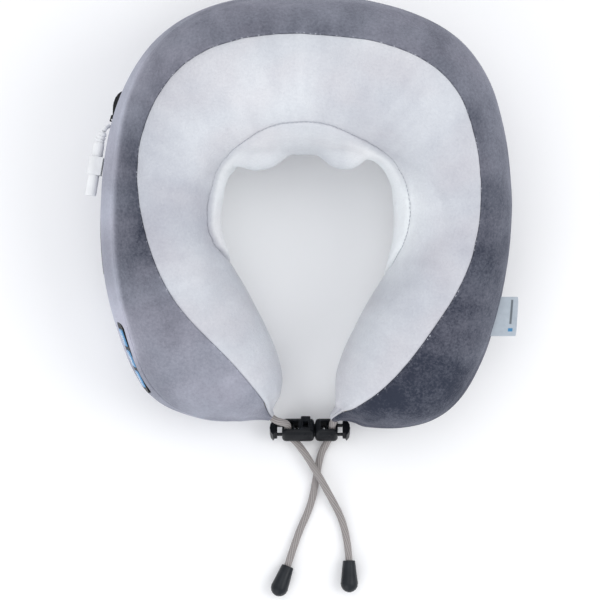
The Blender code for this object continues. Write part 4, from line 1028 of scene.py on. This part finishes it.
def cord_look():
    look = Look("drawcord_yarn", (0.46, 0.43, 0.41), 0.9)
    # the vertex attribute read here is painted shade of the rib grooves
    groove_shade = look.attribute("groove_shade")
    yarn = look.noise(1100, 3, 0.7)
    worn = look.noise(90, 3, 0.6)
    total = look.math("ADD", look.math("MULTIPLY", groove_shade, 0.70), look.math("MULTIPLY", yarn, 0.26))
    total = look.math("ADD", total, look.math("MULTIPLY", worn, 0.16))
    look.base(look.ramp(total, (0.20, (0.075, 0.068, 0.068)), (0.95, (0.43, 0.40, 0.39))))
    look.sheen(0.2, 0.5, (0.7, 0.68, 0.67))
    look.bump(yarn, 0.22 * MM, 0.7)
    return look.material


def make_cords():
    look = cord_look()
    for word, route in (("left", LEFT_CORD), ("right", RIGHT_CORD)):
        points, length = smooth_route(route, 0.45 * MM)
        obj = ribbed_cord(word + "_ribbed_cord", points, look)
        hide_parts(word + "_drawcord")
        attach(obj, "pillow")


# ======================================================================== carried-over CAD nodes
def make_finishes():
    black = plastic("black_moulding", (0.003, 0.0042, 0.0066), 0.32, 0.05, 700, 0.08, shine=0.17)
    bell = plastic("black_bell", (0.007, 0.010, 0.0145), 0.36, 0.05, 700, 0.10, shine=0.24)
    gloss = plastic("satin_black_frame", (0.0045, 0.0055, 0.008), 0.42, 0.03, 500, 0.05, shine=0.12)
    abs_grey = plastic("drive_abs_grey", (0.30, 0.31, 0.33), 0.5, 0.12, 1400)
    white = plastic("white_pvc", (0.88, 0.89, 0.90), 0.38, 0.04, 600, 0.03)
    elastic = plastic("white_elastic", (0.85, 0.86, 0.87), 0.8, 0.25, 1800, 0.05)
    nylon = plastic("gear_nylon_white", (0.82, 0.81, 0.74), 0.5, 0.05, 700)
    rubber = plastic("kneading_rubber", (0.60, 0.47, 0.37), 0.55, 0.12, 1500)
    blue = plastic("key_blue_gloss", (0.10, 0.32, 0.60), 0.22, 0.02, 300, 0.10, 0.3, 0.4)
    lead = plastic("lead_jacket", (0.02, 0.02, 0.022), 0.5, 0.08, 900)
    sleeve = plastic("cell_sleeve_blue", (0.08, 0.20, 0.44), 0.35, 0.05, 500)
    steel = metal("machined_steel", (0.60, 0.61, 0.63), 0.28)
    spring = metal("spring_wire", (0.66, 0.67, 0.69), 0.22, (1, 1, 1))
    bronze = metal("sintered_bronze_bush", (0.52, 0.33, 0.15), 0.42)
    looks = {}
    for look, names in (
        (abs_grey, "front_housing rear_housing control_case battery_tray"),
        (abs_grey, "left_head_carrier right_head_carrier"),
        (steel, "motor_can worm_shaft left_rotor_shaft right_rotor_shaft"),
        (steel, "top_case_screw left_case_screw right_case_screw"),
        (black, "motor_end_cap"), (nylon, "left_worm_wheel right_worm_wheel"),
        (rubber, "left_upper_head left_lower_head right_upper_head right_lower_head"),
        (bronze, "left_front_bush left_rear_bush right_front_bush right_rear_bush worm_top_bush"),
        (spring, "left_spring right_spring"),
        (gloss, "control_bezel"), (blue, "power_key direction_key speed_key"),
        (board_look(), "control_board charge_board"), (sleeve, "battery_cell_1 battery_cell_2"),
        (lead, "motor_lead battery_lead charge_lead"),
        (white, "dc_jack jack_strain_relief jack_cable"), (elastic, "keeper_loop"),
        (black, "zip_slider zip_pull buckle_socket buckle_plug left_plunger right_plunger"),
        (bell, "left_cord_end right_cord_end"),
    ):
        looks.update(dict.fromkeys(names.split(), look))
    rounding = dict(buckle_socket=0.5, buckle_plug=0.5, left_plunger=0.4, right_plunger=0.4,
                    control_bezel=0.7, dc_jack=0.3, keeper_loop=0.3, zip_slider=0.3, zip_pull=0.35,
                    left_cord_end=0.3, right_cord_end=0.3, jack_strain_relief=0.25)
    smooth = smooth_by_angle()
    for name, look in looks.items():
        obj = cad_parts[name]
        if not obj.material_slots:
            obj.data.materials.append(None)
        for slot in obj.material_slots:
            slot.link = "OBJECT"
            slot.material = look
        obj.modifiers.new("smooth_by_angle", "NODES").node_group = smooth
        if name in rounding:
            edge = obj.modifiers.new("rounded_edges", "BEVEL")
            edge.width = rounding[name] * MM
            edge.segments = 2
            edge.limit_method = "ANGLE"
            edge.angle_limit = math.radians(38)
            edge.use_clamp_overlap = True
            obj.modifiers.new("even_normals", "WEIGHTED_NORMAL").keep_sharp = True


def smooth_by_angle():
    """A node group that joins a mesh's loose faces and shades it smooth but for its sharp edges."""
    group = bpy.data.node_groups.new("smooth_by_angle", "GeometryNodeTree")
    group.interface.new_socket("Geometry", in_out="INPUT", socket_type="NodeSocketGeometry")
    group.interface.new_socket("Geometry", in_out="OUTPUT", socket_type="NodeSocketGeometry")

    def step(kind, source, **inputs):
        node = group.nodes.new(kind)
        group.links.new(source, node.inputs["Geometry"])
        for key, value in inputs.items():
            node.inputs[key.replace("_", " ")].default_value = value
        return node, node.outputs["Geometry"]

    given = group.nodes.new("NodeGroupInput").outputs[0]
    joined = step("GeometryNodeMergeByDistance", given, Distance=0.002 * MM)[1]
    plain = step("GeometryNodeRemoveAttribute", joined, Name="custom_normal")[1]
    faces, shaded = step("GeometryNodeSetShadeSmooth", plain)
    edges, shaded = step("GeometryNodeSetShadeSmooth", shaded)
    faces.domain, edges.domain = "FACE", "EDGE"
    flat = group.nodes.new("FunctionNodeCompare")
    flat.data_type, flat.operation = "FLOAT", "LESS_EQUAL"
    flat.inputs[1].default_value = math.radians(34)
    angle = group.nodes.new("GeometryNodeInputMeshEdgeAngle")
    group.links.new(angle.outputs["Unsigned Angle"], flat.inputs[0])
    group.links.new(flat.outputs["Result"], edges.inputs["Shade Smooth"])
    group.links.new(shaded, group.nodes.new("NodeGroupOutput").inputs[0])
    return group


# ======================================================================== key marks, label, zip
def mark_outlines():
    """Each key's raised mark, flat outlines in millimetres: a ring and bar, two arrowheads, three bars."""
    def ring(outer, inner, first, last):
        a = np.radians(np.linspace(first, last, 22))
        return [(r * np.cos(t), r * np.sin(t)) for r, turn in ((outer, a), (inner, a[::-1])) for t in turn]

    def bar(x, y, hx, hy):
        return [(x - hx, y - hy), (x + hx, y - hy), (x + hx, y + hy), (x - hx, y + hy)]

    return {
        "power_key": [ring(2.1, 1.65, 125, 415), bar(0, 1.45, 0.24, 1.0)],
        "direction_key": [[(-0.5, -1.6), (-0.5, 1.6), (-3.0, 0)], [(0.5, -1.6), (3.0, 0), (0.5, 1.6)]],
        "speed_key": [bar(-1.7, -0.9, 0.38, 0.8), bar(0, -0.5, 0.38, 1.2), bar(1.7, -0.1, 0.38, 1.6)],
    }


def make_key_marks():
    look = plastic("white_key_print", (0.84, 0.86, 0.88), 0.4, 0.02, 1500, 0.05)
    for name, outlines in mark_outlines().items():
        middle, axes = key_frame(name)
        top = ((corners_of(name) - middle) @ axes[2]).max()
        verts, faces = [], []
        for outline in outlines:
            first, count = len(verts), len(outline)
            for height in (top - 0.25 * MM, top + 0.10 * MM):
                verts += [middle + axes.T @ np.array([x * MM, y * MM, height]) for x, y in outline]
            faces += [tuple(range(first, first + count))[::-1]]
            faces += [tuple(range(first + count, first + 2 * count))]
            faces += [(first + k, first + (k + 1) % count, first + count + (k + 1) % count, first + count + k)
                      for k in range(count)]
        obj = mesh_piece(name.replace("key", "mark"), verts, faces, look, smooth=False)
        face_outward(obj.data)
        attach(obj, name)


def label_look():
    look = Look("satin_label_weave", (0.52, 0.575, 0.63), 0.42)
    weave = look.node("ShaderNodeTexWave", wave_type="BANDS", bands_direction="Y")
    weave.inputs["Scale"].default_value = 420
    weave.inputs["Distortion"].default_value = 0.6
    look.link(look.coords(), weave.inputs["Vector"])
    stripe = look.attribute("stripe")
    body = look.ramp(look.noise(160, 3), (0.3, (0.37, 0.42, 0.475)), (0.7, (0.45, 0.505, 0.56)))
    banded = look.mix("MIX", look.math("MULTIPLY", stripe, 0.85), body, (0.06, 0.075, 0.09))
    printed = look.math("MULTIPLY", look.attribute("block"), 0.95)
    look.base(look.mix("MIX", printed, banded, (0.01, 0.19, 0.40)))
    look.sheen(0.25, 0.3, (0.8, 0.86, 0.92))
    look.bump(weave.outputs["Fac"], 0.10 * MM, 0.6)
    look.bump(look.noise(900, 2), 0.08 * MM, 0.5)
    return look.material


def make_label():
    """A woven satin label, folded double and sewn into the right side's seam."""
    low, high = (np.array(v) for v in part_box("side_tag"))
    inner, outer, middle_z = low[0] + 1.0 * MM, high[0] - 0.3 * MM, (low[2] + high[2]) / 2
    leaf, fold = 0.42 * MM, 34
    turn = np.radians(np.linspace(-90, 90, 7))
    path = [(x, -leaf) for x in np.linspace(0, 1, fold)]
    path += [(1 + 0.02 * math.cos(a), leaf * math.sin(a)) for a in turn[1:-1]]
    path += [(x, leaf) for x in np.linspace(1, 0, fold)]
    rows = 48
    verts, stripe, block = [], [], []
    for v in np.linspace(0, 1, rows):
        y = low[1] + 0.2 * MM + v * (high[1] - low[1] - 0.4 * MM)
        reach = outer - 1.9 * MM * (1 - v) - 0.5 * MM * (2 * v - 1) ** 8
        start = inner - 4.5 * MM + 4.0 * MM * v
        for u, z in path:
            x = start + (reach - start) * u
            wave = 0.7 * MM * math.sin(2.6 * v + 0.6) * u**2 - 0.9 * MM * u**1.5
            verts.append((x, y, middle_z + z + wave))
            stripe.append(float(0.72 < u < 0.80 and 0.30 < v < 0.92))
            block.append(float(0.68 < u < 0.85 and 0.12 < v < 0.20))
    faces = grid_faces(rows, len(path), closed=False)
    obj = mesh_piece("folded_side_label", verts, faces, label_look())
    write_values(obj.data, "stripe", stripe)
    write_values(obj.data, "block", block)
    solid = obj.modifiers.new("thickness", "SOLIDIFY")
    solid.thickness = 0.22 * MM
    solid.offset = 0
    finer = obj.modifiers.new("finer", "SUBSURF")
    finer.levels = finer.render_levels = 1
    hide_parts("side_tag")
    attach(obj, "pillow")


def box_faces(first):
    corner = [(0, 3, 2, 1), (4, 5, 6, 7), (0, 1, 5, 4), (1, 2, 6, 5), (2, 3, 7, 6), (3, 0, 4, 7)]
    return [tuple(first + k for k in face) for face in corner]


def make_zip():
    """The zip on the left side wall: two strips of tape, and a coil of teeth that mesh between them."""
    corners = corners_of("zip_chain")
    radii = np.hypot(corners[:, 0] - ZIP_CENTRE[0], corners[:, 1] - ZIP_CENTRE[1])
    inner, outer = radii.min(), radii.max()
    level = (corners[:, 2].min() + corners[:, 2].max()) / 2
    tape_face = inner + 0.6 * MM
    first = math.asin((corners[:, 1].min() - ZIP_CENTRE[1]) / outer)
    last = math.asin((corners[:, 1].max() - ZIP_CENTRE[1]) / outer)

    def at(angle, radius, z):
        return (ZIP_CENTRE[0] - radius * math.cos(angle), ZIP_CENTRE[1] + radius * math.sin(angle), level + z)

    steps = np.linspace(first, last, 90)
    verts = []
    section = [(inner, -3.9), (tape_face - 0.1 * MM, -3.9), (tape_face, -3.5), (tape_face, -0.9),
               (tape_face, 0.9), (tape_face, 3.5), (tape_face - 0.1 * MM, 3.9), (inner, 3.9)]
    n = len(section)
    for a in steps:
        verts += [at(a, radius, z * MM) for radius, z in section]
    faces = grid_faces(len(steps), n)
    faces += [tuple(range(n))[::-1], tuple((len(steps) - 1) * n + j for j in range(n))]
    tape_look = plastic("zip_tape_weave", (0.055, 0.058, 0.075), 0.9, 0.2, 1800, 0.15)
    tape = mesh_piece("zip_tape", verts, faces, tape_look, smooth=False)
    verts, faces = [], []
    pitch = ZIP_PITCH / outer
    for k, a in enumerate(np.arange(first + pitch, last - pitch, pitch)):
        side = 1 if k % 2 else -1
        low, high = sorted((side * -0.45, side * 1.25))
        half = pitch * 0.62
        base = len(verts)
        for radius, z0, z1, grow in ((tape_face - 0.05 * MM, low, high, 1.0),
                                     (outer, low + 0.18, high - 0.18, 0.62)):
            verts += [at(a - half * grow, radius, z0 * MM), at(a + half * grow, radius, z0 * MM),
                      at(a + half * grow, radius, z1 * MM), at(a - half * grow, radius, z1 * MM)]
        faces += box_faces(base)
    teeth_look = plastic("zip_teeth_nylon", (0.012, 0.013, 0.016), 0.35, 0.03, 900)
    teeth = mesh_piece("zip_teeth", verts, faces, teeth_look, smooth=False)
    for obj in (tape, teeth):
        face_outward(obj.data)
        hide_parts("zip_chain")
        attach(obj, "pillow")


make_camera()
make_studio()
make_cords()
make_cover()
make_finishes()
make_key_marks()
make_label()
make_zip()
